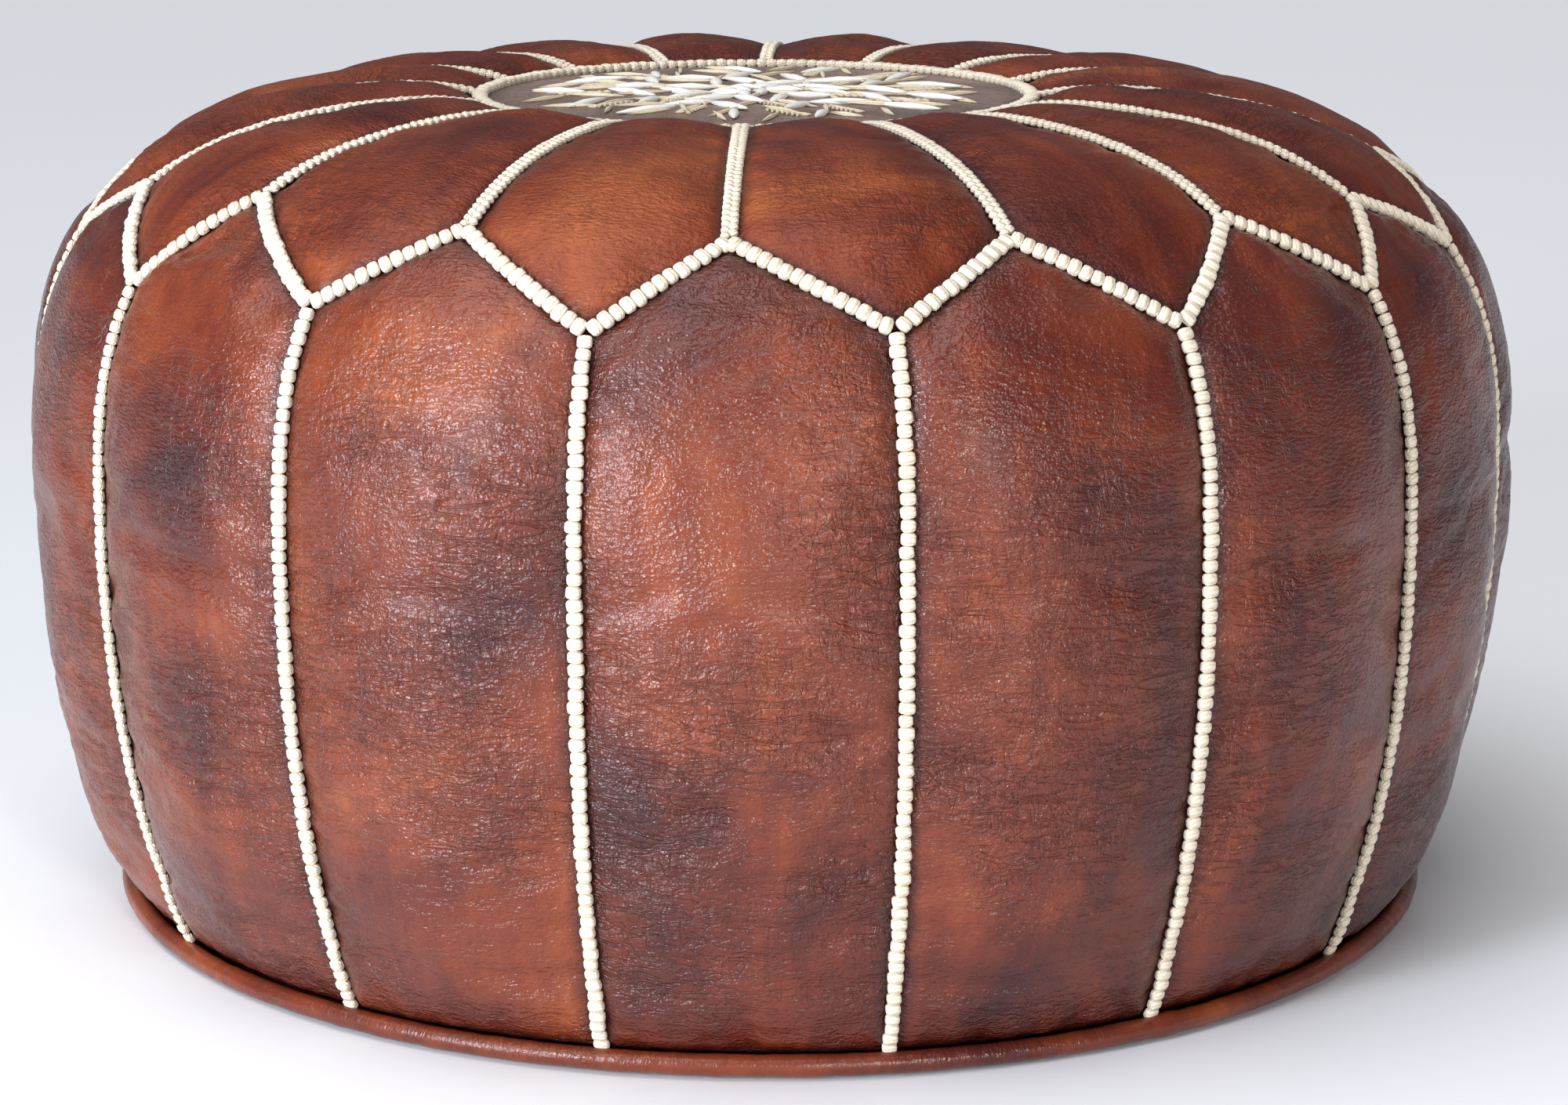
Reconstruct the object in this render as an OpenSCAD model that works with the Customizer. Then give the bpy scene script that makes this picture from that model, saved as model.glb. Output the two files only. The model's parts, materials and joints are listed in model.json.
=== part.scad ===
// Round leather floor pouf: a cover of petals and side panels, stitched with cream
// cord round an embroidered medallion, over a calico liner full of stuffing. It is
// filled through a zip that lies in a groove across the base.

/* [Cover] */
// Widest diameter of the leather skin, at the belly
overall_d = 520; // [430:2:630]
// Height from the floor to the top of the stitching
overall_h = 288; // [238:2:348]
// How far the belly stands out past the seam at the foot
side_bulge = 32; // [20:1:42]
// Height of the widest point above the floor
belly_h = 158; // [130:2:190]
// Squareness of the shoulder: 2 is an ellipse, more is boxier
shoulder_power = 2.8; // [2.2:0.1:3.6]
// Petals on the top, and as many panels round the side
panel_count = 16; // [12:1:18]
// Thickness of the leather
leather_t = 1.6; // [1.2:0.1:2.2]
// Turn of the seams about the upright axis, from the line of the zip
seam_turn = 9.3; // [0:0.1:22.5]

/* [Seams] */
// Width of a row of cord stitches
stitch_w = 5; // [4:0.2:6]
// How far the stitches stand proud of the leather
stitch_rise = 1.8; // [1.2:0.1:2.4]
// Width across the medallion, over its corners
medallion_d = 194; // [160:2:234]
// Angle up the shoulder at which the petal tips end
tip_angle = 32; // [26:1:38]
// Angle up the shoulder at which two petals and a side panel meet
fork_angle = 51; // [46:1:58]

/* [Embroidery] */
// Width of the whole embroidered star
embroidery_d = 168; // [140:2:174]
// Thickness of the satin stitches
satin_t = 0.9; // [0.6:0.1:1.4]

/* [Welt] */
// Outside diameter of the leather welt round the foot
welt_d = 7; // [6:0.2:8.4]
// Thickness of the thinner leather that wraps the welt
welt_leather_t = 0.9; // [0.7:0.1:1.1]

/* [Zip] */
// Length of the zip's chain between its stops
zip_l = 370; // [308:2:376]
// Width of each cloth tape
tape_w = 11.8; // [10:0.2:14.2]
// Thickness of each cloth tape
tape_t = 0.6; // [0.5:0.1:0.8]
// Width of each half of the chain
coil_w = 2.4; // [2:0.1:2.8]
// Thickness of the chain
coil_t = 2.6; // [2.2:0.1:3.2]
// Length of the slider
slider_l = 14; // [12:0.5:17]
// Length of the pull from its pivot to its tip
pull_l = 28; // [24:1:33]

/* [Liner] */
// Thickness of the calico
liner_t = 0.8; // [0.6:0.1:1]

/* [Hidden] */
$fn = 64;

// Clearances
piece_gap = 0.1;      // between a stitch row and the leather beside it
layer_gap = 0.4;      // between the leather, the liner and the stuffing
contact_gap = 0.05;   // between pieces sewn face to face
slider_gap = 0.4;     // between the slider and what runs through it
pin_gap = 0.05;       // round the pull's crossbar in its lug
far = 2 * overall_d;  // longer than anything that it cuts

// Skin
belly_r = overall_d / 2;
foot_r = belly_r - side_bulge;
skin_top = overall_h - stitch_rise;
medallion_r = medallion_d / 2;
sector = 360 / panel_count;
side_steps = 9;
shoulder_steps = 13;
panel_edge = stitch_w / 2 + piece_gap;

// Welt and foot
welt_r = welt_d / 2;
flange_t = 1.2;
flange_top = 1.2 + welt_r + flange_t / 2;
flange_bottom = flange_top - flange_t;
flange_in = 2.5;       // how far the welt's flange reaches in past the foot seam
welt_centre_r = foot_r + welt_r + piece_gap;
welt_centre_z = flange_top - flange_t / 2;

// Each side panel rises from the flange and leans out just clear of the welt
side_start = 20;       // where on its quarter ellipse the panel's curve begins
hem_z = flange_top + contact_gap;
foot_lean = atan2(belly_h * tan(side_start) * (1 - sin(side_start)), side_bulge);
foot_z = welt_centre_z + (welt_r + 2 * piece_gap - (welt_r + piece_gap) * sin(foot_lean)) / cos(foot_lean);
hem_r = foot_r - (foot_z - hem_z) / tan(foot_lean);
rim_top = flange_bottom - contact_gap;
rim_in = 6;            // flat width of the base's turned-up rim
rim_slope = 6;         // width of the slope that leads up to it
plate_r = foot_r - rim_in - rim_slope;

// Zip, which runs along X with its chain in one level plane
slider_plate_t = 1.2;
lug_h = 3.2;
lug_w = 2;
pull_t = 1.4;
lug_floor_gap = 1.9;
slider_bottom = lug_floor_gap + lug_h;
zip_z = slider_bottom + slider_plate_t + slider_gap + coil_t / 2;
slider_top = zip_z + coil_t / 2 + slider_gap + slider_plate_t;
coil_in = 0.8;         // from the centre line to the chain
pillar_t = 2 * (coil_in - 0.3);
coil_out = coil_in + coil_w;
slider_wall_in = coil_out + 3.5 * slider_gap;
slider_wall_t = 1.2;
slider_w = 2 * (slider_wall_in + slider_wall_t);
tape_out = coil_out + tape_w;
stop_l = 3;
stop_t = coil_t + 0.4;
tape_l = zip_l + 40;
slider_rest_x = -zip_l / 2 + slider_l / 2 + 0.3;

// Groove in the base, which the zip lies in
lip_top = zip_z - tape_t / 2 - contact_gap;
lip_in = slider_w / 2 + 1.7;
lip_flat = 5.5;
lip_slope = 11;
lip_out = lip_in + lip_flat + lip_slope;
lip_turn = 0.6;        // how much sooner the lip's underside turns down than its top
patch_t = 1.2;
patch_w = 2 * (lip_in + lip_flat - lip_turn - piece_gap);
patch_in = zip_l / 2 + stop_l + 1;
patch_out = plate_r - 1;

// Liner and stuffing
liner_out = leather_t + layer_gap;
liner_in = liner_out + liner_t;
dish_gap = liner_in + piece_gap;
stuffing_in = dish_gap + liner_t + piece_gap;
dish_rim_points = 3;   // how far up the outline the liner base's rim reaches
dish_z = leather_t + layer_gap;
rim_shelf_z = rim_top + layer_gap;
tunnel_top = slider_top + 1.2;
tunnel_in = tape_out + 3;
tunnel_slope = 9;

// Embroidery
star_folds = 8;
star_r = embroidery_d / 2;

// Panels, petals and side seams are counted round from here; petal i is centred on side seam i
function seam_angle(i) = seam_turn + (i - 1) * sector;
function fork_angle_at(i) = seam_angle(i) + sector / 2;

function two_digits(i) = str(i < 10 ? "0" : "", i);
function petal_name(i) = str("top_petal_", two_digits(i));
function side_name(i) = str("side_panel_", two_digits(i));

// ---- Outline of the skin, as [radius, height] ----

function unit(v) = v / norm(v);
function side_point(t) = [
    foot_r + side_bulge * (sin(t) - sin(side_start)) / (1 - sin(side_start)),
    foot_z + (belly_h - foot_z) * (1 - cos(t) / cos(side_start))];
function shoulder_point(t) = [
    medallion_r + (belly_r - medallion_r) * pow(cos(t), 2 / shoulder_power),
    belly_h + (skin_top - belly_h) * pow(sin(t), 2 / shoulder_power)];
outline = concat(
    [[hem_r, hem_z]],
    [for (i = [0:side_steps - 1]) side_point(side_start + (90 - side_start) * i / side_steps)],
    [for (i = [0:shoulder_steps]) shoulder_point(90 * i / shoulder_steps)]);
last = len(outline) - 1;
function outline_normal(i) =
    i == 0 ? [1, 0] :
    i == last ? [0, 1] :
    let (along = unit(outline[i + 1] - outline[i - 1])) [along[1], -along[0]];
function outline_at(depth) = [for (i = [0:last]) outline[i] - depth * outline_normal(i)];

// A solid of revolution between two depths under the skin, open at the foot and the medallion
module skin_between(outer_depth, inner_depth) {
    inner = outline_at(inner_depth);
    rotate_extrude()
        polygon(concat(outline_at(outer_depth), [for (i = [last:-1:0]) inner[i]]));
}

// ---- Cutters that follow the seams ----

// The space between two upright planes a sector apart, each set in from its seam
module wedge(middle_angle, inset) {
    half = sector / 2;
    tip = inset / sin(half);
    reach = far / cos(half);
    rotate([0, 0, middle_angle])
        linear_extrude(height = far, center = true)
            polygon([[tip, 0], [tip + reach * cos(half), -reach * sin(half)],
                     [tip + reach * cos(half), reach * sin(half)]]);
}

// A slab that straddles an upright seam plane on one side of the axis
module seam_slab(angle) {
    rotate([0, 0, angle])
        translate([0, -stitch_w / 2, 0])
            cube([far, stitch_w, far]);
}

// The tip of each petal is a V between two seam planes that stand square to the shoulder
tip_point = shoulder_point(tip_angle);
fork_point = shoulder_point(fork_angle);
fork_side = fork_point[0] * sin(sector / 2);
fork_up = [fork_point[0] * cos(sector / 2), fork_point[1]] - tip_point;
v_slope = norm(fork_up) / fork_side;
v_tilt = atan2(fork_up[1], -fork_up[0]);
v_reach = 3 * fork_side;

// Everything on the petal's side of its V, with the V moved up the shoulder by shift
module petal_side(i, shift) {
    low = shift * sqrt(1 + v_slope * v_slope);
    rotate([0, 0, seam_angle(i)])
        translate([tip_point[0], 0, tip_point[1]])
            rotate([0, v_tilt, 0])
                rotate([0, 0, 90])
                    linear_extrude(height = belly_r, center = true)
                        polygon([[0, low], [v_reach, low + v_slope * v_reach], [v_reach, far],
                                 [-v_reach, far], [-v_reach, low + v_slope * v_reach]]);
}

// A prism with a corner at each petal seam, grown by shift on every side
module medallion_prism(shift, height) {
    corner = medallion_r + shift / cos(sector / 2);
    linear_extrude(height = height)
        polygon([for (i = [1:panel_count])
            [corner * cos(fork_angle_at(i)), corner * sin(fork_angle_at(i))]]);
}

// ---- Leather cover ----

module medallion() {
    color("#4b3029")
        translate([0, 0, skin_top - leather_t])
            medallion_prism(-panel_edge, leather_t);
}

module top_petal(i) {
    color(i % 2 == 0 ? "#6a3020" : "#74361f")
        difference() {
            intersection() {
                skin_between(0, leather_t);
                wedge(seam_angle(i), panel_edge);
                petal_side(i, panel_edge);
            }
            medallion_prism(panel_edge, far);
        }
}

module side_panel(i) {
    color(i % 2 == 0 ? "#7a3a22" : "#6d2f1e")
        difference() {
            intersection() {
                skin_between(0, leather_t);
                wedge(fork_angle_at(i), panel_edge);
            }
            petal_side(i, -panel_edge);
            petal_side(i + 1, -panel_edge);
        }
}

// Half of the base as cut across the zip: flat on the floor, turned up beside the groove
module base_section() {
    polygon([[lip_out, 0], [far, 0], [far, leather_t], [lip_out + 1, leather_t],
             [lip_in + lip_flat, lip_top], [lip_in, lip_top],
             [lip_in, lip_top - leather_t], [lip_in + lip_flat - lip_turn, lip_top - leather_t]]);
}

module base_rim() {
    rotate_extrude()
        polygon([[plate_r - 0.5, 0], [plate_r, 0], [plate_r + rim_slope, rim_top - leather_t],
                 [foot_r, rim_top - leather_t], [foot_r, rim_top],
                 [plate_r + rim_slope - 0.4, rim_top], [plate_r - 0.5, leather_t]]);
}

module base_half(side) {
    intersection() {
        union() {
            intersection() {
                rotate([90, 0, 90])
                    linear_extrude(height = far, center = true)
                        scale([side, 1]) base_section();
                cylinder(r = plate_r, h = far, center = true);
            }
            base_rim();
        }
        translate([-far / 2, side > 0 ? contact_gap : -contact_gap - far, -1])
            cube([far, far, far]);
    }
}

module base_front() { color("#5f2c1e") base_half(-1); }
module base_back() { color("#5f2c1e") base_half(1); }

module zip_end_patches() {
    color("#53261b")
        for (end = [-1, 1])
            translate([end > 0 ? patch_in : -patch_out, -patch_w / 2,
                       lip_top - leather_t - contact_gap - patch_t])
                cube([patch_out - patch_in, patch_w, patch_t]);
}

// The welt's leather wraps its cord and ends in a doubled flange under the foot seam
module welt_cover() {
    color("#6b3222")
        rotate_extrude()
            translate([welt_centre_r, welt_centre_z])
                difference() {
                    union() {
                        circle(r = welt_r);
                        translate([foot_r - flange_in - welt_centre_r, -flange_t / 2])
                            square([welt_centre_r - foot_r + flange_in, flange_t]);
                    }
                    circle(r = welt_r - welt_leather_t);
                    translate([-far, -contact_gap])
                        square([far, 2 * contact_gap]);
                }
}

module welt_cord() {
    color("#d8cdb4")
        rotate_extrude()
            translate([welt_centre_r, welt_centre_z])
                circle(r = welt_r - welt_leather_t - contact_gap);
}

// ---- Cord stitching, one solid for each run between two corners ----

module stitch_skin() {
    skin_between(-stitch_rise, leather_t);
}

module medallion_stitching() {
    color("#efe6d2")
        translate([0, 0, skin_top - leather_t])
            difference() {
                medallion_prism(stitch_w / 2, leather_t + stitch_rise);
                translate([0, 0, -1])
                    medallion_prism(-stitch_w / 2, far);
            }
}

module petal_stitching() {
    color("#efe6d2")
        for (i = [1:panel_count])
            difference() {
                intersection() {
                    stitch_skin();
                    seam_slab(fork_angle_at(i));
                    union() {
                        petal_side(i, panel_edge);
                        petal_side(i + 1, panel_edge);
                    }
                }
                medallion_prism(panel_edge, far);
            }
}

module zigzag_stitching() {
    color("#efe6d2")
        for (i = [1:panel_count])
            difference() {
                intersection() {
                    stitch_skin();
                    wedge(seam_angle(i), contact_gap);
                    petal_side(i, -stitch_w / 2);
                }
                petal_side(i, stitch_w / 2);
            }
}

module side_stitching() {
    color("#efe6d2")
        for (i = [1:panel_count])
            difference() {
                intersection() {
                    stitch_skin();
                    seam_slab(seam_angle(i));
                }
                petal_side(i, -panel_edge);
                rotate_extrude()
                    translate([welt_centre_r, welt_centre_z])
                        circle(r = welt_r + piece_gap);
                cylinder(r = belly_r, h = hem_z);
            }
}

// ---- Embroidery: satin stitches that lie on the medallion ----

// A pointed leaf from one radius to another on the X axis
module leaf(from_r, to_r, width) {
    half = (to_r - from_r) / 2;
    arc_r = (half * half + width * width / 4) / width;
    translate([(from_r + to_r) / 2, 0, skin_top + contact_gap])
        linear_extrude(height = satin_t)
            intersection() {
                translate([0, arc_r - width / 2]) circle(r = arc_r);
                translate([0, width / 2 - arc_r]) circle(r = arc_r);
            }
}

// A straight bar of thread between two points at the ends of two rays
module thread_bar(from_r, from_angle, to_r, to_angle, width) {
    a = from_r * [cos(from_angle), sin(from_angle)];
    b = to_r * [cos(to_angle), sin(to_angle)];
    turn = atan2(b[1] - a[1], b[0] - a[0]);
    translate([a[0], a[1], skin_top + contact_gap])
        rotate([0, 0, turn])
            translate([0, -width / 2, 0])
                cube([norm(b - a), width, satin_t]);
}

module embroidery_white() {
    fold = 360 / star_folds;
    color("#fbf8f0")
        for (i = [0:star_folds - 1])
            rotate([0, 0, seam_turn + i * fold]) {
                leaf(0.07 * star_r, 0.33 * star_r, 0.085 * star_r);
                leaf(0.70 * star_r, star_r, 0.07 * star_r);
            }
}

module embroidery_cream() {
    fold = 360 / star_folds;
    color("#d9c9a3")
        for (i = [0:star_folds - 1])
            rotate([0, 0, seam_turn + i * fold]) {
                for (k = [-1:1])
                    rotate([0, 0, k * 11])
                        leaf(0.36 * star_r, 0.54 * star_r, 0.05 * star_r);
                thread_bar(0.60 * star_r, 1.5, 0.78 * star_r, fold / 2 - 1.5, 0.025 * star_r);
                thread_bar(0.60 * star_r, -1.5, 0.78 * star_r, 1.5 - fold / 2, 0.025 * star_r);
                rotate([0, 0, fold / 2])
                    leaf(0.81 * star_r, 0.97 * star_r, 0.06 * star_r);
            }
}

// ---- Zip ----

module zip_tape(side) {
    translate([-tape_l / 2, side > 0 ? coil_out : -tape_out, zip_z - tape_t / 2])
        cube([tape_l, tape_w, tape_t]);
}

module zip_chain(side) {
    translate([-zip_l / 2, side > 0 ? coil_in : -coil_out, zip_z - coil_t / 2])
        cube([zip_l, coil_w, coil_t]);
}

module zip_tape_front() { color("#4a2f25") zip_tape(-1); }
module zip_tape_back() { color("#4a2f25") zip_tape(1); }
module zip_chain_front() { color("#3f2a22") zip_chain(-1); }
module zip_chain_back() { color("#3f2a22") zip_chain(1); }

module zip_top_stops() {
    color("#b08d4a")
        for (side = [-1, 1])
            translate([-zip_l / 2 - stop_l, side > 0 ? coil_in : -coil_out, zip_z - stop_t / 2])
                cube([stop_l - contact_gap, coil_w, stop_t]);
}

module zip_bottom_stop() {
    color("#b08d4a")
        translate([zip_l / 2 + contact_gap, -coil_out, zip_z - stop_t / 2])
            cube([stop_l, 2 * coil_out, stop_t]);
}

// One plate of the slider, with a wall down each side that stops short of the tape
module slider_shell(up) {
    plate_z = up > 0 ? slider_top - slider_plate_t : slider_bottom;
    tape_edge = tape_t / 2 + slider_gap;
    wall_z = up > 0 ? zip_z + tape_edge : slider_bottom;
    wall_h = slider_top - zip_z - tape_edge;
    translate([-slider_l / 2, -slider_w / 2, plate_z])
        cube([slider_l, slider_w, slider_plate_t]);
    for (side = [-1, 1])
        translate([-slider_l / 2, side > 0 ? slider_wall_in : -slider_w / 2, wall_z])
            cube([slider_l, slider_wall_t, wall_h]);
}

module zip_slider() {
    lug_l = 6;
    color("#b7945a")
        translate([slider_rest_x, 0, 0])
            difference() {
                union() {
                    slider_shell(-1);
                    slider_shell(1);
                    translate([-slider_l / 2 + 1, -pillar_t / 2, slider_bottom])
                        cube([4, pillar_t, slider_top - slider_bottom]);
                    translate([-lug_l / 2, -lug_w / 2, lug_floor_gap])
                        cube([lug_l, lug_w, lug_h + slider_plate_t / 2]);
                }
                translate([0, 0, pull_z])
                    rotate([90, 0, 0])
                        cylinder(r = pull_t / 2 + pin_gap, h = 2 * lug_w, center = true);
            }
}

pull_z = lug_floor_gap + 1.45;
arm_in = lug_w / 2 + 0.4;
arm_w = 2;

module zip_pull() {
    plate_from = 5;
    pull_w = 2 * (arm_in + arm_w) + 1.4;
    end_r = pull_w / 2;
    color("#b7945a")
        translate([slider_rest_x, 0, pull_z])
            difference() {
                union() {
                    rotate([90, 0, 0])
                        cylinder(r = pull_t / 2, h = 2 * (arm_in + arm_w), center = true);
                    for (side = [-1, 1])
                        translate([0, side > 0 ? arm_in : -arm_in - arm_w, -pull_t / 2])
                            cube([plate_from + 1, arm_w, pull_t]);
                    translate([plate_from, -pull_w / 2, -pull_t / 2])
                        cube([pull_l - plate_from - end_r, pull_w, pull_t]);
                    translate([pull_l - end_r, 0, -pull_t / 2])
                        cylinder(r = end_r, h = pull_t);
                }
                translate([pull_l - end_r, 0, -pull_t])
                    cylinder(r = end_r - 2.2, h = 2 * pull_t);
            }
}

// ---- Liner and stuffing ----

// The liner's top and side in one, open at the foot
module liner_cup() {
    outer = outline_at(liner_out);
    inner = outline_at(liner_in);
    color("#e9e2d0")
        rotate_extrude()
            polygon(concat(outer, [[0, outer[last][1]], [0, inner[last][1]]],
                           [for (i = [last:-1:0]) inner[i]]));
}

// The space over the zip, as cut across it; grow moves its faces out
module tunnel_section(grow) {
    base_y = tunnel_in + tunnel_slope + grow;
    polygon([[-base_y, -1], [-base_y, dish_z + grow], [-tunnel_in - grow, tunnel_top + grow],
             [tunnel_in + grow, tunnel_top + grow], [base_y, dish_z + grow], [base_y, -1]]);
}

module tunnel(grow, length) {
    rotate([90, 0, 90])
        linear_extrude(height = length, center = true)
            tunnel_section(grow);
}

// The liner's base: a shallow dish whose rim stands inside the cup, raised over the zip
module liner_base() {
    rim_out = outline_at(dish_gap);
    rim_in = outline_at(dish_gap + liner_t);
    shelf_r = plate_r + rim_slope - 0.2;
    tunnel_l = 2 * plate_r;
    color("#e4dcc8")
        difference() {
            union() {
                difference() {
                    rotate_extrude()
                        polygon(concat(
                            [[0, dish_z], [plate_r - 0.2, dish_z], [shelf_r, rim_shelf_z],
                             [rim_out[0][0], rim_shelf_z]],
                            [for (i = [0:dish_rim_points]) rim_out[i]],
                            [for (i = [dish_rim_points:-1:0]) rim_in[i]],
                            [[rim_in[0][0], rim_shelf_z + liner_t],
                             [shelf_r - 0.2, rim_shelf_z + liner_t],
                             [plate_r - 0.4, dish_z + liner_t], [0, dish_z + liner_t]]));
                    tunnel(0, tunnel_l);
                }
                intersection() {
                    tunnel(liner_t, tunnel_l);
                    cylinder(r = plate_r - 0.4, h = far);
                    translate([-far / 2, -far / 2, dish_z])
                        cube([far, far, far]);
                }
            }
            tunnel(0, tunnel_l + 1);
        }
}

module stuffing() {
    body = outline_at(stuffing_in);
    shelf = rim_shelf_z + liner_t + layer_gap;
    floor_z = dish_z + liner_t + layer_gap;
    inner_r = plate_r - 2;
    above = [for (p = body) if (p[1] > shelf + 1) p];
    color("#f3efe4")
        difference() {
            rotate_extrude()
                polygon(concat([[0, floor_z], [inner_r, floor_z], [inner_r, shelf],
                                [body[0][0], shelf]], above, [[0, body[last][1]]]));
            tunnel(liner_t + layer_gap, far);
        }
}

// ---- Assembly ----

medallion();
for (i = [1:panel_count]) top_petal(i);
for (i = [1:panel_count]) side_panel(i);
base_front();
base_back();
zip_end_patches();
welt_cover();
welt_cord();
medallion_stitching();
petal_stitching();
zigzag_stitching();
side_stitching();
embroidery_cream();
embroidery_white();
zip_tape_front();
zip_tape_back();
zip_chain_front();
zip_chain_back();
zip_top_stops();
zip_bottom_stop();
zip_slider();
zip_pull();
liner_cup();
liner_base();
stuffing();
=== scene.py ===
"""Leather pouf with thread seams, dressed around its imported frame.

The skin is sixteen side panels, sixteen petals and a medallion over a stuffed calico bag. Each
sub-assembly is a class that builds its meshes and dresses them, and main() makes them in order.
"""

from __future__ import annotations

import logging
import math
import random
from bisect import bisect_left
from collections.abc import Callable
from dataclasses import dataclass, field
from enum import Enum

import bmesh
import bpy
from mathutils import Matrix, Vector, noise
from mathutils.bvhtree import BVHTree
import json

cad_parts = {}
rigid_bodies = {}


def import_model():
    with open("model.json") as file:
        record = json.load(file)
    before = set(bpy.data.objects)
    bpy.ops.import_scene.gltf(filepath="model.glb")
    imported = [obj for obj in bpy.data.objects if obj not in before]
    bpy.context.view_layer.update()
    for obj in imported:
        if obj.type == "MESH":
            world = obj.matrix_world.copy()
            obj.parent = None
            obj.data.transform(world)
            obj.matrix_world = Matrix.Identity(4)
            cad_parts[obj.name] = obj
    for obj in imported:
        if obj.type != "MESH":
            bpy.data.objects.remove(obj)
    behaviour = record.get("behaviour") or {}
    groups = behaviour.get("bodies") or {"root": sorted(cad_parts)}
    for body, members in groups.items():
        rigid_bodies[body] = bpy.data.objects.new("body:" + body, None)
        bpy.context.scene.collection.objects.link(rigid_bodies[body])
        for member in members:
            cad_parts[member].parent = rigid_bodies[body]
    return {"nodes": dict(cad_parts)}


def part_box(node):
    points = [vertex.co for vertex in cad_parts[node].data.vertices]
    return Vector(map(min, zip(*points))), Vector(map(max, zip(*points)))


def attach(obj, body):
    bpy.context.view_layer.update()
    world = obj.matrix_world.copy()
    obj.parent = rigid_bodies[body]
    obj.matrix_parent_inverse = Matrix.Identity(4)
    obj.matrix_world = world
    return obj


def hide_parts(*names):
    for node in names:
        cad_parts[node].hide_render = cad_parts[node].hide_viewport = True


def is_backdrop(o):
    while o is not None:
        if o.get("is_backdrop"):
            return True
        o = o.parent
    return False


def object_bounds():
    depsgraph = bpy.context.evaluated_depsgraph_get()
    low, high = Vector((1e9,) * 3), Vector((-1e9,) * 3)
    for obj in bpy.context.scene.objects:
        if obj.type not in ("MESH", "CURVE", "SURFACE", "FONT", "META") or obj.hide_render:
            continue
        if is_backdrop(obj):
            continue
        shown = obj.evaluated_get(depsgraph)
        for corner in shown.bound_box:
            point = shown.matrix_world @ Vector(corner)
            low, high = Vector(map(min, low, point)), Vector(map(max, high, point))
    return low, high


LOG = logging.getLogger("pouf")
MM = 0.001
FULL_TURN = 2 * math.pi
SAME_POINT = 0.01 * MM
LAMP_AIM = (0.0, 0.0, 0.15)
PANELS = 16
HIDE_MAP = "hide"
STRAND_MAP = "strand"
GAP_NAME = "gap"
SHADE_NAME = "shade"
Colour = tuple[float, float, float]
Spot = tuple[float, float]


class Body(Enum):
    """The rigid bodies that the pieces ride on."""

    COVER = "cover"
    SLIDER = "slider"
    PULL = "pull"


class SkinPart(Enum):
    """The two kinds of leather panel that make the skin."""

    SIDE = "side_panel"
    PETAL = "top_petal"


# ---------------------------------------------------------------- shader tools


def _operator(operation: str, swapped: bool = False) -> Callable[["Wire", object], "Wire"]:
    """Makes an operator of Wire that adds one Math node.

    Args:
        operation: the Math node's operation.
        swapped: whether the wire comes second.

    Returns:
        The operator.
    """
    def act(self: "Wire", other: object) -> "Wire":
        """Adds the node."""
        first, second = (other, self) if swapped else (self, other)
        return self.maths(operation, first, second)
    return act


class Wire:
    """A shader value that takes part in sums; every operator adds its Math node."""

    __add__ = _operator("ADD")
    __radd__ = _operator("ADD", swapped=True)
    __sub__ = _operator("SUBTRACT")
    __rsub__ = _operator("SUBTRACT", swapped=True)
    __mul__ = _operator("MULTIPLY")
    __rmul__ = _operator("MULTIPLY", swapped=True)
    __truediv__ = _operator("DIVIDE")
    __pow__ = _operator("POWER")

    def __init__(self, bench: "Bench", socket: bpy.types.NodeSocket) -> None:
        """Keeps the bench and the output socket that it stands for."""
        self.bench = bench
        self.socket = socket

    def maths(self, operation: str, first: object, second: object, clamp: bool = False) -> "Wire":
        """Adds one Math node.

        Args:
            operation: the Math node's operation.
            first: a wire or a number.
            second: a wire or a number.
            clamp: keeps the result between 0 and 1.

        Returns:
            The node's value.
        """
        node = self.bench.add("ShaderNodeMath", {"operation": operation, "use_clamp": clamp},
                              {0: first, 1: second})
        return Wire(self.bench, node.outputs[0])

    def wave(self) -> "Wire":
        """The sine of the value."""
        return self.maths("SINE", self, 0.0)

    def size(self) -> "Wire":
        """The value without its sign."""
        return self.maths("ABSOLUTE", self, 0.0)

    def held(self) -> "Wire":
        """The value kept between 0 and 1."""
        return self.maths("ADD", self, 0.0, clamp=True)

    def span(self, low: float, high: float) -> "Wire":
        """Turns low..high into a smooth 0..1.

        Args:
            low: the value that becomes 0.
            high: the value that becomes 1.

        Returns:
            The smoothed value.
        """
        node = self.bench.add("ShaderNodeMapRange", {"interpolation_type": "SMOOTHSTEP"},
                              {"Value": self, "From Min": low, "From Max": high})
        return Wire(self.bench, node.outputs["Result"])


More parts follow.
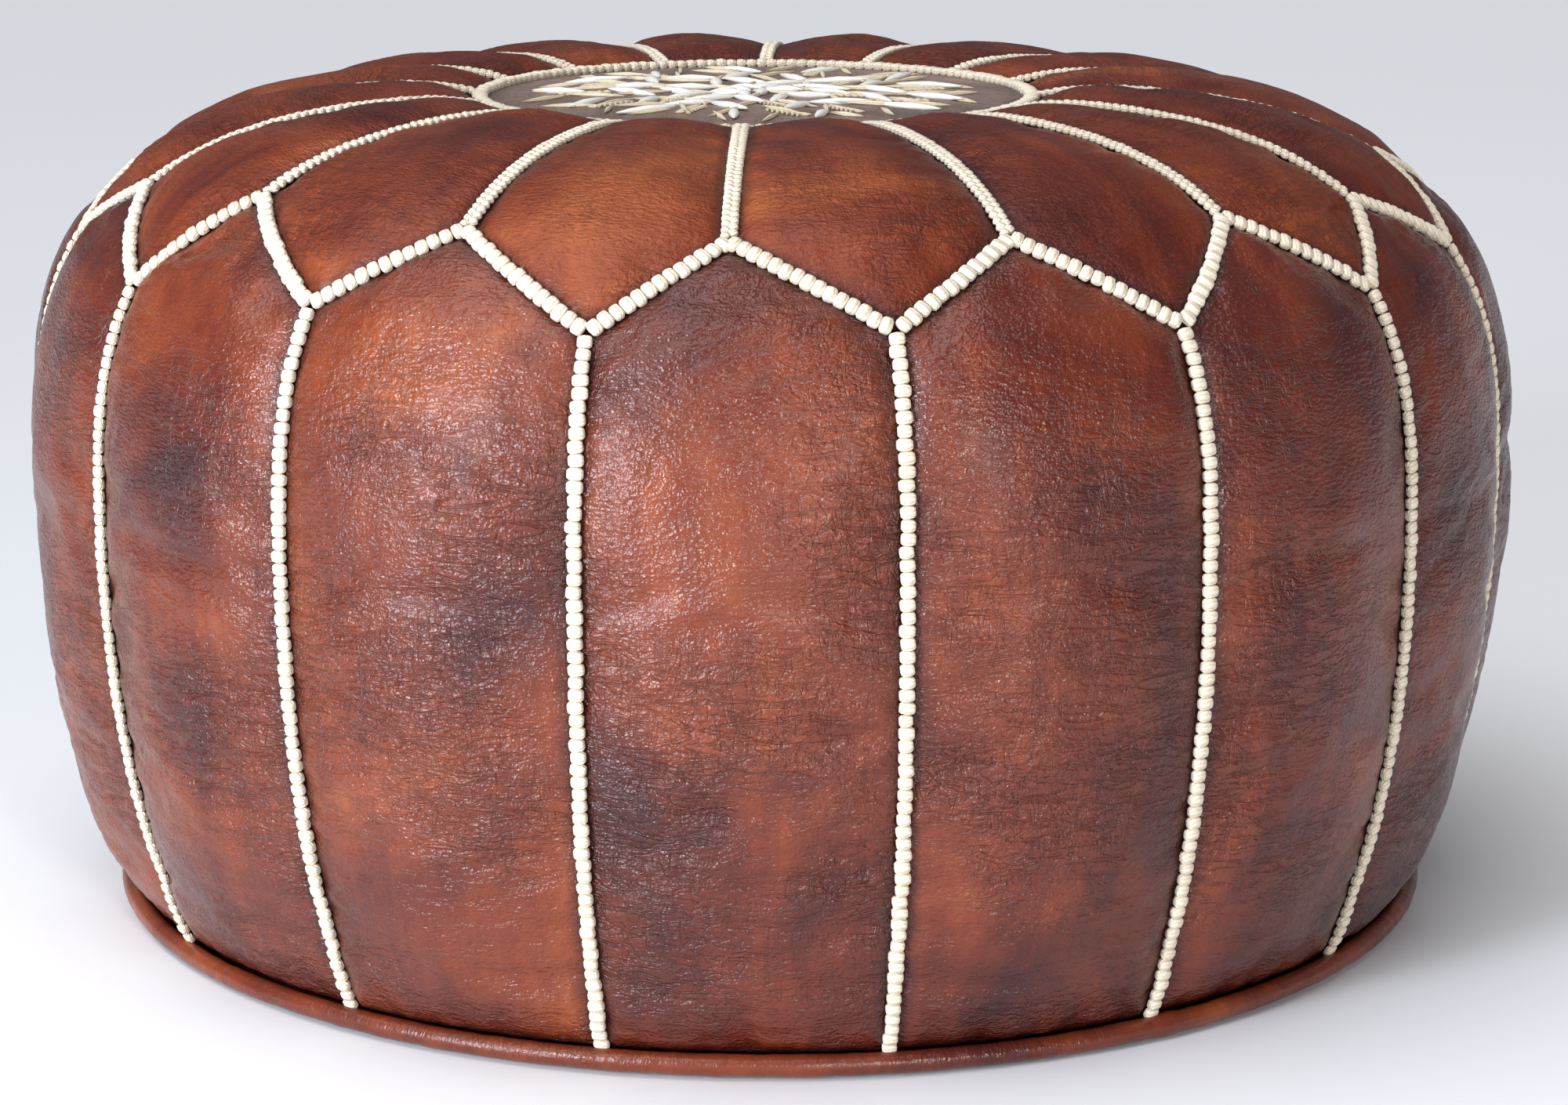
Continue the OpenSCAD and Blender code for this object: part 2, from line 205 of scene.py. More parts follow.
class Bench:
    """One material's node tree, with one way of adding nodes to it."""

    def __init__(self, name: str) -> None:
        """Makes the material and leaves its shader ready.

        Args:
            name: the material's name.
        """
        self.material = bpy.data.materials.new(name)
        self.material.use_nodes = True
        self.tree = self.material.node_tree
        self.shader = self.tree.nodes["Principled BSDF"]

    def add(self, kind: str, settings: dict | None = None,
            sockets: dict | None = None) -> bpy.types.Node:
        """Adds a node of any type.

        Args:
            kind: the node's type.
            settings: its settings, which are set first; "stops" gives a ramp's stops.
            sockets: its input sockets by name or number, each with a value, a socket or a wire.

        Returns:
            The node.
        """
        node = self.tree.nodes.new(kind)
        for key, value in (settings or {}).items():
            if key == "stops":
                self._stops(node.color_ramp, value)
            else:
                setattr(node, key, value)
        for key, value in (sockets or {}).items():
            self.feed(node.inputs[key], value)
        return node

    def feed(self, socket: bpy.types.NodeSocket, value: object) -> None:
        """Links a wire or a socket, or sets a plain value.

        Args:
            socket: the input socket.
            value: a wire, a socket or a plain value.
        """
        if isinstance(value, Wire):
            self.tree.links.new(value.socket, socket)
        elif isinstance(value, bpy.types.NodeSocket):
            self.tree.links.new(value, socket)
        else:
            socket.default_value = value

    @staticmethod
    def _stops(ramp: bpy.types.ColorRamp, stops: list[tuple[float, Colour]]) -> None:
        """Sets a ramp's stops from (place, colour) pairs.

        Args:
            ramp: the node's ramp.
            stops: the pairs.
        """
        for _ in stops[2:]:
            ramp.elements.new(0.5)
        for element, (place, colour) in zip(ramp.elements, stops):
            element.position = place
            element.color = (*colour, 1.0)

    def place(self) -> bpy.types.NodeSocket:
        """The point on the piece, in metres."""
        return self.add("ShaderNodeTexCoord").outputs["Object"]

    def map(self, name: str) -> bpy.types.NodeSocket:
        """The piece's own flat map of that name."""
        return self.add("ShaderNodeUVMap", {"uv_map": name}).outputs["UV"]

    def worn(self, name: str) -> Wire:
        """A number kept on the piece's points."""
        node = self.add("ShaderNodeAttribute", {"attribute_name": name})
        return Wire(self, node.outputs["Fac"])

    def stretch(self, vector: bpy.types.NodeSocket, scale: Colour,
                turn: float = 0.0) -> bpy.types.NodeSocket:
        """Scales a vector along each axis, after turning it about Z.

        Args:
            vector: the vector.
            scale: how much along x, y and z.
            turn: the turn, in radians.

        Returns:
            The stretched vector.
        """
        node = self.add("ShaderNodeMapping", None,
                        {"Vector": vector, "Rotation": (0.0, 0.0, turn), "Scale": scale})
        return node.outputs["Vector"]

    def cloud(self, vector: bpy.types.NodeSocket, scale: float, detail: float = 3.0,
              rough: float = 0.55, warp: float = 0.0) -> Wire:
        """Soft noise from 0 to 1.

        Args:
            vector: where it is read.
            scale: how many spots a metre, or a unit of the vector.
            detail: how many finer layers it has.
            rough: how strong the finer layers are.
            warp: how far it is distorted.

        Returns:
            The noise's value.
        """
        node = self.add("ShaderNodeTexNoise", {"noise_dimensions": "3D"},
                        {"Vector": vector, "Scale": scale, "Detail": detail,
                         "Roughness": rough, "Distortion": warp})
        return Wire(self, node.outputs["Fac"])

    def cells(self, vector: bpy.types.NodeSocket, scale: float) -> Wire:
        """Distance to the nearest of many scattered points, for pebbled grain.

        Args:
            vector: where it is read.
            scale: how many a metre, or a unit of the vector.

        Returns:
            The distance, in units of one cell.
        """
        node = self.add("ShaderNodeTexVoronoi", {"feature": "F1"},
                        {"Vector": vector, "Scale": scale})
        return Wire(self, node.outputs["Distance"])

    def part(self, vector: bpy.types.NodeSocket, axis: str) -> Wire:
        """One of a vector's parts."""
        node = self.add("ShaderNodeSeparateXYZ", None, {0: vector})
        return Wire(self, node.outputs[axis])

    def ramp(self, value: Wire, stops: list[tuple[float, Colour]]) -> bpy.types.NodeSocket:
        """Turns a value into a colour along stops."""
        return self.add("ShaderNodeValToRGB", {"stops": stops}, {"Fac": value}).outputs["Color"]

    def blend(self, share: object, first: object, second: object) -> bpy.types.NodeSocket:
        """Mixes two colours.

        Args:
            share: how much of the second, as a wire or a number.
            first: a colour socket or a colour.
            second: a colour socket or a colour.

        Returns:
            The colour.
        """
        first = (*first, 1.0) if isinstance(first, tuple) else first
        second = (*second, 1.0) if isinstance(second, tuple) else second
        node = self.add("ShaderNodeMix", {"data_type": "RGBA", "blend_type": "MIX"},
                        {0: share, 6: first, 7: second})
        return node.outputs[2]

    def relief(self, height: Wire) -> bpy.types.NodeSocket:
        """A bumped normal from a height in millimetres."""
        node = self.add("ShaderNodeBump", None, {"Strength": 1.0, "Distance": MM, "Height": height})
        return node.outputs["Normal"]

    def dress(self, sockets: dict) -> bpy.types.Material:
        """Sets or links the main shader's sockets and gives the material.

        Args:
            sockets: the shader's inputs by name.

        Returns:
            The material.
        """
        for key, value in sockets.items():
            self.feed(self.shader.inputs[key], value)
        return self.material


# ---------------------------------------------------------------- finishes


@dataclass(frozen=True)
class LeatherFinish:
    """Hand-dyed, waxed goat leather: cloudy stains, brushed streaks, pebbled grain and fine creases."""

    name: str
    stain: Colour = (0.022, 0.0045, 0.0045)
    deep: Colour = (0.056, 0.0080, 0.0060)
    middle: Colour = (0.108, 0.0160, 0.0070)
    warm: Colour = (0.186, 0.0330, 0.0100)
    bright: Colour = (0.320, 0.0780, 0.0210)
    lighter: float = 0.0
    streaks: float = 0.36
    shine: float = 0.275
    gloss: float = 0.48
    coat: float = 0.05
    coat_rough: float = 0.23
    coat_ior: float = 1.45
    scuffs: float = 0.26
    grain: float = 0.150
    fleck_rate: Colour = (430.0, 820.0, 1.0)
    pore_rate: float = 1150.0
    crease: float = 0.40
    crease_rate: Colour = (75.0, 250.0, 1.0)
    cross_rate: Colour = (270.0, 130.0, 1.0)
    cloud_rate: float = 10.0
    brush_rate: Colour = (30.0, 8.0, 1.0)
    streak_rate: Colour = (190.0, 24.0, 1.0)
    spot_rate: float = 75.0
    # Painted shade along the seams: the band's width in metres, its raggedness and how dark it is.
    rim: float = 0.008
    rim_rate: float = 90.0
    painted_seam_shade: float = 0.72

    def _dye(self, bench: Bench, creases: Wire) -> bpy.types.NodeSocket:
        """The leather's colour: dye clouds, streaks laid on with a brush and spots, with painted shade
        in the creases and along the seams.

        Args:
            bench: the material's bench.
            creases: where the creases are.

        Returns:
            The colour.
        """
        hide = bench.map(HIDE_MAP)
        clouds = bench.cloud(hide, self.cloud_rate, 5.0, 0.60, 0.9)
        brushed = bench.cloud(bench.stretch(hide, self.brush_rate), 1.0, 5.0, 0.58, 0.8)
        fine = bench.cloud(bench.stretch(hide, self.streak_rate), 1.0, 3.0, 0.6, 0.4)
        dye = (1.0 - self.streaks) * clouds + self.streaks * brushed + 0.09 * (fine - 0.5)
        # Adds the panel's tone, which on some side panels is partly painted light and shade.
        dye = dye + bench.worn(SHADE_NAME) + self.lighter
        colour = bench.ramp(dye, [(0.27, self.stain), (0.39, self.deep), (0.49, self.middle),
                                  (0.60, self.warm), (0.76, self.bright)])
        spots = bench.cloud(hide, self.spot_rate, 5.0, 0.7).span(0.60, 0.74)
        colour = bench.blend(0.55 * spots, colour, self.deep)
        # Painted shade: the creases are darkened towards the darkest colour.
        colour = bench.blend(0.30 * creases.held(), colour, self.stain)
        # Painted shade: a ragged band along each seam, where the leather dips into it, is darkened.
        ragged = bench.cloud(hide, self.rim_rate, 3.0, 0.6)
        reach = bench.worn(GAP_NAME) / (self.rim * (0.35 + 1.3 * ragged))
        near = 1.0 - reach.span(0.15, 1.0)
        return bench.blend(self.painted_seam_shade * near, colour, self.stain)

    def _creases(self, bench: Bench) -> Wire:
        """Fine creases, mostly level, in patches: 0 on smooth leather, 1 along a crease.

        Args:
            bench: the material's bench.

        Returns:
            The creases' strength.
        """
        hide = bench.map(HIDE_MAP)
        mask = 0.25 + 0.75 * bench.cloud(hide, 15.0, 2.0).span(0.40, 0.62)
        folds = bench.cloud(bench.stretch(hide, self.crease_rate, 0.22), 1.0, 3.0, 0.6, 0.9)
        lines = 1.0 - (7.0 * (folds - 0.5)).size().held()
        other = bench.cloud(bench.stretch(hide, self.cross_rate, 0.75), 1.0, 2.0, 0.55, 0.8)
        cross = 1.0 - (8.0 * (other - 0.5)).size().held()
        return mask * (lines ** 2.0 + 0.55 * cross ** 2.0)

    def _height(self, bench: Bench, creases: Wire) -> Wire:
        """The fine relief in millimetres: pebbles, pores and short creases.

        Args:
            bench: the material's bench.
            creases: where the creases are.

        Returns:
            The height.
        """
        place = bench.place()
        flecks = bench.cells(bench.stretch(bench.map(HIDE_MAP), self.fleck_rate, 0.12), 1.0)
        pebbles = flecks + 0.5 * bench.cells(place, self.pore_rate)
        soft = bench.cloud(place, 150.0, 3.0, 0.6)
        return 2.0 * self.grain * pebbles - self.crease * creases + 0.22 * soft

    def material(self) -> bpy.types.Material:
        """Makes the material.

        Returns:
            The material.
        """
        bench = Bench(self.name)
        worn = bench.cloud(bench.place(), 34.0, 3.0, 0.6)
        creases = self._creases(bench)
        return bench.dress({
            "Base Color": self._dye(bench, creases),
            "Roughness": self.shine + self.scuffs * (worn - 0.5),
            "Specular IOR Level": self.gloss,
            "Coat Weight": self.coat,
            "Coat Roughness": self.coat_rough,
            "Coat IOR": self.coat_ior,
            "Normal": bench.relief(self._height(bench, creases)),
        })


@dataclass(frozen=True)
class ThreadFinish:
    """Twisted thread laid side by side, with a soft silky or matt look, dirt clouds and painted shade
    between the strands.
    """

    name: str
    light: Colour = (0.800, 0.705, 0.560)
    dark: Colour = (0.430, 0.310, 0.190)
    strands: float = 7.0
    shine: float = 0.60
    sheen: float = 0.25
    dirt: float = 0.22
    depth: float = 0.22

    def material(self) -> bpy.types.Material:
        """Makes the material.

        Returns:
            The material.
        """
        bench = Bench(self.name)
        around = bench.part(bench.map(STRAND_MAP), "X")
        place = bench.place()
        wobble = bench.cloud(place, 900.0, 2.0)
        ridge = ((around * (self.strands * math.pi)) + 2.2 * wobble).wave().size()
        stain = bench.cloud(place, 60.0, 4.0, 0.65).span(0.42, 0.75)
        # Dirt clouds, plus painted shade in the grooves between the strands.
        shade = self.dirt * stain + 0.45 * (1.0 - ridge.span(0.0, 0.5))
        colour = bench.blend(shade, self.light, self.dark)
        fuzz = bench.cloud(place, 2600.0, 2.0, 0.7)
        return bench.dress({
            "Base Color": colour,
            "Roughness": self.shine + 0.2 * (fuzz - 0.5),
            "Sheen Weight": self.sheen,
            "Sheen Roughness": 0.45,
            "Normal": bench.relief(self.depth * ridge + 0.12 * fuzz),
        })


@dataclass(frozen=True)
class ClothFinish:
    """Plain woven cloth: two sets of threads over and under each other."""

    name: str
    light: Colour
    dark: Colour
    pitch: float = 0.0007
    depth: float = 0.10
    shine: float = 0.85

    def material(self) -> bpy.types.Material:
        """Makes the material.

        Returns:
            The material.
        """
        bench = Bench(self.name)
        place = bench.place()
        turns = FULL_TURN / (2 * self.pitch)
        warp = (bench.part(place, "X") * turns).wave()
        weft = (bench.part(place, "Y") * turns).wave()
        weave = 0.5 + 0.5 * warp * weft
        slub = bench.cloud(bench.stretch(place, (40.0, 500.0, 60.0)), 1.0, 3.0, 0.6)
        soiled = bench.cloud(place, 18.0, 4.0, 0.6).span(0.4, 0.8)
        shade = (0.55 * weave + 0.5 * slub * soiled).held()
        return bench.dress({
            "Base Color": bench.blend(shade, self.light, self.dark),
            "Roughness": self.shine - 0.1 * slub,
            "Sheen Weight": 0.15,
            "Normal": bench.relief(self.depth * weave + 0.08 * slub),
        })


@dataclass(frozen=True)
class MetalFinish:
    """Cast zinc with worn brass plating: scratches and dull, worn patches."""

    name: str
    plate: Colour = (0.640, 0.430, 0.180)
    worn: Colour = (0.300, 0.210, 0.110)

    def material(self) -> bpy.types.Material:
        """Makes the material.

        Returns:
            The material.
        """
        bench = Bench(self.name)
        place = bench.place()
        dull = bench.cloud(place, 160.0, 4.0, 0.65)
        scratch = bench.cloud(bench.stretch(place, (250.0, 2600.0, 900.0), 0.3), 1.0, 2.0, 0.5)
        return bench.dress({
            "Base Color": bench.blend(dull.span(0.45, 0.75), self.plate, self.worn),
            "Metallic": 1.0,
            "Roughness": 0.24 + 0.25 * dull + 0.12 * scratch,
            "Normal": bench.relief(0.02 * scratch + 0.015 * dull),
        })


@dataclass(frozen=True)
class CoilFinish:
    """Dyed nylon filament, slightly glossy, a little dusty."""

    name: str
    colour: Colour = (0.060, 0.022, 0.014)
    dust: Colour = (0.190, 0.130, 0.100)

    def material(self) -> bpy.types.Material:
        """Makes the material.

        Returns:
            The material.
        """
        bench = Bench(self.name)
        place = bench.place()
        dusty = bench.cloud(place, 300.0, 3.0, 0.6)
        return bench.dress({
            "Base Color": bench.blend(0.35 * dusty.span(0.45, 0.8), self.colour, self.dust),
            "Roughness": 0.34 + 0.25 * dusty,
            "Normal": bench.relief(0.02 * dusty),
        })


@dataclass(frozen=True)
class FibreFinish:
    """Matted cotton waste, the filling of the bag."""

    name: str
    light: Colour = (0.720, 0.680, 0.600)
    dark: Colour = (0.360, 0.320, 0.270)

    def material(self) -> bpy.types.Material:
        """Makes the material.

        Returns:
            The material.
        """
        bench = Bench(self.name)
        place = bench.place()
        tuft = bench.cloud(place, 90.0, 5.0, 0.7, 1.2)
        hair = bench.cloud(bench.stretch(place, (900.0, 300.0, 500.0), 0.5), 1.0, 3.0, 0.6, 2.0)
        return bench.dress({
            "Base Color": bench.blend(tuft.span(0.35, 0.7), self.dark, self.light),
            "Roughness": 0.9 - 0.1 * hair,
            "Normal": bench.relief(1.2 * tuft + 0.4 * hair),
        })


@dataclass(frozen=True)
class PaperFinish:
    """Pale paper for the floor."""

    name: str
    colour: Colour = (0.86, 0.87, 0.90)

    def material(self) -> bpy.types.Material:
        """Makes the material.

        Returns:
            The material.
        """
        bench = Bench(self.name)
        soft = bench.cloud(bench.place(), 3.0, 2.0)
        shade = (0.97 * self.colour[0], 0.97 * self.colour[1], 0.975 * self.colour[2])
        return bench.dress({
            "Base Color": bench.blend(soft, self.colour, shade),
            "Roughness": 0.8 + 0.1 * soft,
        })


# ---------------------------------------------------------------- making pieces


def hand_over(bm: bmesh.types.BMesh, name: str, finish: object, body: Body,
              stands_for: tuple[str, ...] = (), smooth: bool = True) -> bpy.types.Object:
    """Turns a mesh into a dressed piece that rides on a body.

    Args:
        bm: the mesh, in metres in the shared frame; it is freed.
        name: the piece's name.
        finish: a material.
        body: the body it rides on.
        stands_for: the CAD nodes it replaces.
        smooth: whether its faces are shaded smooth.

    Returns:
        The object.
    """
    mesh = bpy.data.meshes.new(name)
    for face in bm.faces:
        face.smooth = smooth
    bm.to_mesh(mesh)
    bm.free()
    piece = bpy.data.objects.new(name, mesh)
    bpy.context.scene.collection.objects.link(piece)
    mesh.materials.append(finish)
    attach(piece, body.value)
    if stands_for:
        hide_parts(*stands_for)
    LOG.info("made %s", name)
    return piece


def wall(piece: bpy.types.Object, thickness: float) -> None:
    """Gives a sheet its thickness with a live modifier, inward from the outer face.

    Args:
        piece: the sheet.
        thickness: its thickness, in metres.
    """
    shell = piece.modifiers.new("thickness", "SOLIDIFY")
    shell.thickness = thickness
    shell.offset = -1.0
    shell.use_even_offset = False


def copy_of(node: str) -> bmesh.types.BMesh:
    """A merged copy of a CAD node's mesh.

    Args:
        node: the CAD node.

    Returns:
        The mesh.
    """
    bm = bmesh.new()
    bm.from_mesh(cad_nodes()[node].data)
    bmesh.ops.remove_doubles(bm, verts=bm.verts, dist=SAME_POINT)
    bmesh.ops.dissolve_degenerate(bm, edges=bm.edges, dist=SAME_POINT)
    return bm


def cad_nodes() -> dict[str, bpy.types.Object]:
    """The CAD nodes by name."""
    return FRAME["nodes"]


def hum(point: Vector, size: float, seed: float) -> float:
    """Smooth noise from about -1 to 1 with features of a given size in metres."""
    x, y, z = point / size
    return noise.noise(Vector((x + seed, y - seed, z + 2 * seed)))


# ---------------------------------------------------------------- shape and plan


@dataclass(frozen=True)
class Outline:
    """The pouf's side view, from the hem at the welt up to the medallion's edge, by length."""

    belly_radius: float
    belly_height: float
    top_height: float
    medallion_radius: float
    foot_radius: float = 228 * MM
    foot_height: float = 6.17 * MM
    side_start: float = math.radians(20)
    shoulder_power: float = 2.8
    crown_shift: Vector = field(default_factory=lambda: Vector((-5.0 * MM, 0.0)))
    look_step: float = 1.5 * MM
    steps: int = 1600
    lengths: list[float] = field(default_factory=list)

    def __post_init__(self) -> None:
        """Measures the length along the outline."""
        total, before = 0.0, self._raw(0.0)
        for k in range(self.steps + 1):
            here = self._raw(2.0 * k / self.steps)
            total += (here - before).length
            self.lengths.append(total)
            before = here

    def _raw(self, q: float) -> Vector:
        """The outline's (radius, height) at q, 0 to 1 on the side and 1 to 2 on the shoulder.

        Args:
            q: the place.

        Returns:
            The radius and the height.
        """
        if q <= 1.0:
            turn = self.side_start + q * (math.pi / 2 - self.side_start)
            start, bulge = math.sin(self.side_start), self.belly_radius - self.foot_radius
            rise = self.belly_height - self.foot_height
            return Vector((self.foot_radius + bulge * (math.sin(turn) - start) / (1 - start),
                           self.foot_height + rise * (1 - math.cos(turn) / math.cos(self.side_start))))
        turn, power = (q - 1.0) * math.pi / 2, 2 / self.shoulder_power
        reach, rise = self.belly_radius - self.medallion_radius, self.top_height - self.belly_height
        return Vector((self.medallion_radius + reach * max(0.0, math.cos(turn)) ** power,
                       self.belly_height + rise * max(0.0, math.sin(turn)) ** power))

    def length_at_shoulder(self, degrees: float) -> float:
        """The length from the hem up to a place on the shoulder.

        Args:
            degrees: how far up the shoulder, from 0 to 90.

        Returns:
            The length, in metres.
        """
        place = (1.0 + degrees / 90.0) * self.steps / 2
        low = int(place)
        start, end = self.lengths[low], self.lengths[min(low + 1, self.steps)]
        return start + (place - low) * (end - start)

    def full_length(self) -> float:
        """The length from the hem to the medallion."""
        return self.lengths[-1]

    def at(self, length: float) -> Vector:
        """The (radius, height) at a length from the hem.

        Args:
            length: the length from the hem, in metres.

        Returns:
            The radius and the height.
        """
        spot = min(max(length, 0.0), self.lengths[-1])
        high = min(max(bisect_left(self.lengths, spot), 1), self.steps)
        low_length = self.lengths[high - 1]
        share = (spot - low_length) / max(1e-9, self.lengths[high] - low_length)
        return self._raw(2.0 * (high - 1 + share) / self.steps)

    def outward(self, length: float) -> Vector:
        """The outline's outward direction, as (radius, height).

        Args:
            length: the length from the hem, in metres.

        Returns:
            The direction, of length 1.
        """
        step = self.look_step
        along = self.at(length + step) - self.at(length - step)
        if length > self.full_length() - 2 * step:
            return Vector((0.0, 1.0))
        return Vector((along.y, -along.x)).normalized()

    def spot(self, angle: float, length: float, out: float) -> Vector:
        """A point of the skin.

        Args:
            angle: the angle about the upright axis, in radians.
            length: the length along the outline from the hem.
            out: how far outside the outline.

        Returns:
            The point, in metres.
        """
        flat = self.at(length) + out * self.outward(length)
        near = max(0.0, (self.belly_radius - flat.x) / (self.belly_radius - self.medallion_radius))
        shift = self.crown_shift * min(1.0, near) if flat.y > self.belly_height else Vector((0.0, 0.0))
        return Vector((flat.x * math.cos(angle) + shift.x, flat.x * math.sin(angle) + shift.y, flat.y))


@dataclass(frozen=True)
class SeamPlan:
    """Where the seams run, as spots of (angle, length along the outline)."""

    outline: Outline
    first_turn: float = math.radians(9.3)
    valley_turn: float = 32.0
    peak_turn: float = 51.0
    crown_share: float = 0.35
    seam_lean: dict[int, float] = field(default_factory=lambda: {
        10: 0.4, 11: -0.3, 12: 0.2, 13: -0.2, 14: -0.4, 15: -1.6, 16: -3.8, 1: -2.0, 4: 0.9, 6: -0.8})
    seam_drop: dict[int, float] = field(default_factory=lambda: {
        10: -2.6, 12: -0.8, 14: -2.4, 15: -1.6, 3: 1.2, 7: -1.5})
    peak_lean: dict[int, float] = field(default_factory=lambda: {
        9: -1.6, 10: -2.6, 11: -0.9, 12: -1.0, 13: -0.5, 14: -1.6, 15: -4.6, 16: -4.8, 3: 0.8})
    peak_drop: dict[int, float] = field(default_factory=lambda: {
        9: -4.0, 10: 1.2, 11: -1.0, 12: -1.5, 13: -2.2, 14: -1.8, 15: -3.6, 2: 1.4, 6: -1.2})

    @property
    def sector(self) -> float:
        """The angle of one panel."""
        return FULL_TURN / PANELS

    @staticmethod
    def _number(i: int) -> int:
        """A panel's number, kept from 1 to 16."""
        return (i - 1) % PANELS + 1

    def foot(self, i: int) -> Spot:
        """The lower end of side seam i."""
        return self.first_turn + (i - 1) * self.sector, 0.0

    def valley(self, i: int) -> Spot:
        """The upper end of side seam i, where two zigzag seams meet.

        Args:
            i: the seam's number.

        Returns:
            The spot.
        """
        lean = math.radians(self.seam_lean.get(self._number(i), 0.0))
        drop = self.seam_drop.get(self._number(i), 0.0)
        return (self.first_turn + (i - 1) * self.sector + lean,
                self.outline.length_at_shoulder(self.valley_turn + drop))

    def peak(self, i: int) -> Spot:
        """The zigzag's point between side seams i and i + 1.

        Args:
            i: the seam's number.

        Returns:
            The spot.
        """
        lean = math.radians(self.peak_lean.get(self._number(i), 0.0))
        drop = self.peak_drop.get(self._number(i), 0.0)
        return (self.first_turn + (i - 0.5) * self.sector + lean,
                self.outline.length_at_shoulder(self.peak_turn + drop))

    def crown(self, i: int) -> Spot:
        """The upper end of petal seam i at the medallion."""
        lean = self.crown_share * math.radians(self.peak_lean.get(self._number(i), 0.0))
        return self.first_turn + (i - 0.5) * self.sector + lean, self.outline.full_length()


def between(a: Spot, b: Spot, share: float) -> Spot:
    """A spot between two spots."""
    return a[0] + (b[0] - a[0]) * share, a[1] + (b[1] - a[1]) * share


@dataclass(frozen=True)
class Cut:
    """One leather panel as it is cut: its kind, its number and its four corners with a point."""

    part: SkinPart
    number: int
    plan: SeamPlan
    end_slope: float = 0.80

    @property
    def name(self) -> str:
        """The name of the CAD node that it stands for."""
        return f"{self.part.value}_{self.number:02d}"

    def _corners(self) -> tuple[Spot, Spot, Spot, Spot, Spot, Spot]:
        """The lower left, middle and right spots, then the upper ones.

        Returns:
            The six spots.
        """
        i, plan = self.number, self.plan
        if self.part is SkinPart.SIDE:
            return (plan.foot(i), between(plan.foot(i), plan.foot(i + 1), 0.5), plan.foot(i + 1),
                    plan.valley(i), plan.peak(i), plan.valley(i + 1))
        low, high = plan.crown(i - 1), plan.crown(i)
        return plan.peak(i - 1), plan.valley(i), plan.peak(i), low, between(low, high, 0.5), high

    def spot(self, across: float, up: float) -> Spot:
        """The spot at two shares of the panel, from 0 to 1 across it and up it.

        Args:
            across: the share across it.
            up: the share up it.

        Returns:
            The spot.
        """
        a, b, c, d, e, f = self._corners()
        share = 2 * across if across < 0.5 else 2 * across - 1
        low = between(a, b, share) if across < 0.5 else between(b, c, share)
        high = between(d, e, share) if across < 0.5 else between(e, f, share)
        return between(low, high, up)

    def gaps(self, across: float, up: float) -> tuple[float, float]:
        """Distances in metres to the nearest side seam and to the nearest end seam.

        Args:
            across: the share across it.
            up: the share up it.

        Returns:
            The two distances.
        """
        angle, length = self.spot(across, up)
        radius = self.plan.outline.at(length).x
        left, right = self.spot(0.0, up)[0], self.spot(1.0, up)[0]
        side = radius * min(angle - left, right - angle)
        low, high = self.spot(across, 0.0), self.spot(across, 1.0)
        down, top = (length - low[1]), (high[1] - length)
        if self.part is SkinPart.SIDE:
            return side, min(down, self.end_slope * top)
        return side, min(self.end_slope * down, top)


# ---------------------------------------------------------------- the skin


@dataclass(frozen=True)
class Swelling:
    """How the stuffing fills the panels out between their seams."""

    sink: float = 4.0 * MM
    puff: float = -1.0 * MM
    most: float = 4.4 * MM
    foot_reach: float = 30 * MM
    pressure: float = 5.0
    growth: float = -0.018
    frames: int = 16
    stiffness: float = 22.0
    bending: float = 1.1
    damping: float = 18.0
    air: float = 4.0
    weight: float = 0.25
    quality: int = 4
    side_reach: float = 42 * MM
    end_reach: float = 30 * MM
    fullness: float = 2.2
    ring_sink: float = 3.6 * MM
    ring_puff: float = 0.3 * MM
    ring_reach: float = 40 * MM

    def seam_out(self, outline: Outline, length: float) -> float:
        """How far out of the outline a seam lies, sunk and lower still at the medallion.

        Args:
            outline: the pouf's outline.
            length: the length from the hem, in metres.

        Returns:
            The distance, in metres.
        """
        from_ring = outline.full_length() - length
        near = max(0.0, 1 - from_ring / self.ring_reach)
        hump = math.sin(min(1.0, from_ring / self.ring_reach) * math.pi)
        raised = min(1.0, length / self.foot_reach)
        sunk = self.sink * (0.1 + 0.9 * raised) + self.ring_sink * near ** 3
        return 0.35 * self.ring_puff * hump - sunk

    def out(self, cut: Cut, across: float, up: float) -> float:
        """How far out of the outline a point lies before the filling settles.

        Args:
            cut: the panel.
            across: the share across it.
            up: the share up it.

        Returns:
            The distance, in metres.
        """
        side, end = cut.gaps(across, up)
        rise_side = 1 - (1 - min(side / self.side_reach, 1.0)) ** self.fullness
        rise_end = 1 - (1 - min(end / self.end_reach, 1.0)) ** self.fullness
        lift = rise_side * rise_end
        outline, length = cut.plan.outline, cut.spot(across, up)[1]
        return self.seam_out(outline, length) + (self.sink + self.puff) * lift


@dataclass(frozen=True)
class Wear:
    """How sewing and use mark the leather: depths, reaches and sizes in metres."""

    groove: float = 0.9 * MM
    groove_reach: float = 3.2 * MM
    held_reach: float = 9 * MM
    lumps: tuple[Spot, ...] = ((1.15 * MM, 52 * MM), (0.55 * MM, 23 * MM))
    pucker: float = 0.95 * MM
    pucker_size: Spot = (6.5 * MM, 26 * MM)
    pucker_start: float = 2.5 * MM
    usual: float = 0.35
    patch: Spot = (70 * MM, 60 * MM)
    fold: float = 0.62 * MM
    fold_size: Spot = (30 * MM, 7.5 * MM)
    fold_edge: float = 5.0
    fine: float = 0.28 * MM
    fine_size: Spot = (13 * MM, 5.5 * MM)
    fine_slant: float = 20 * MM
    fine_edge: float = 4.5


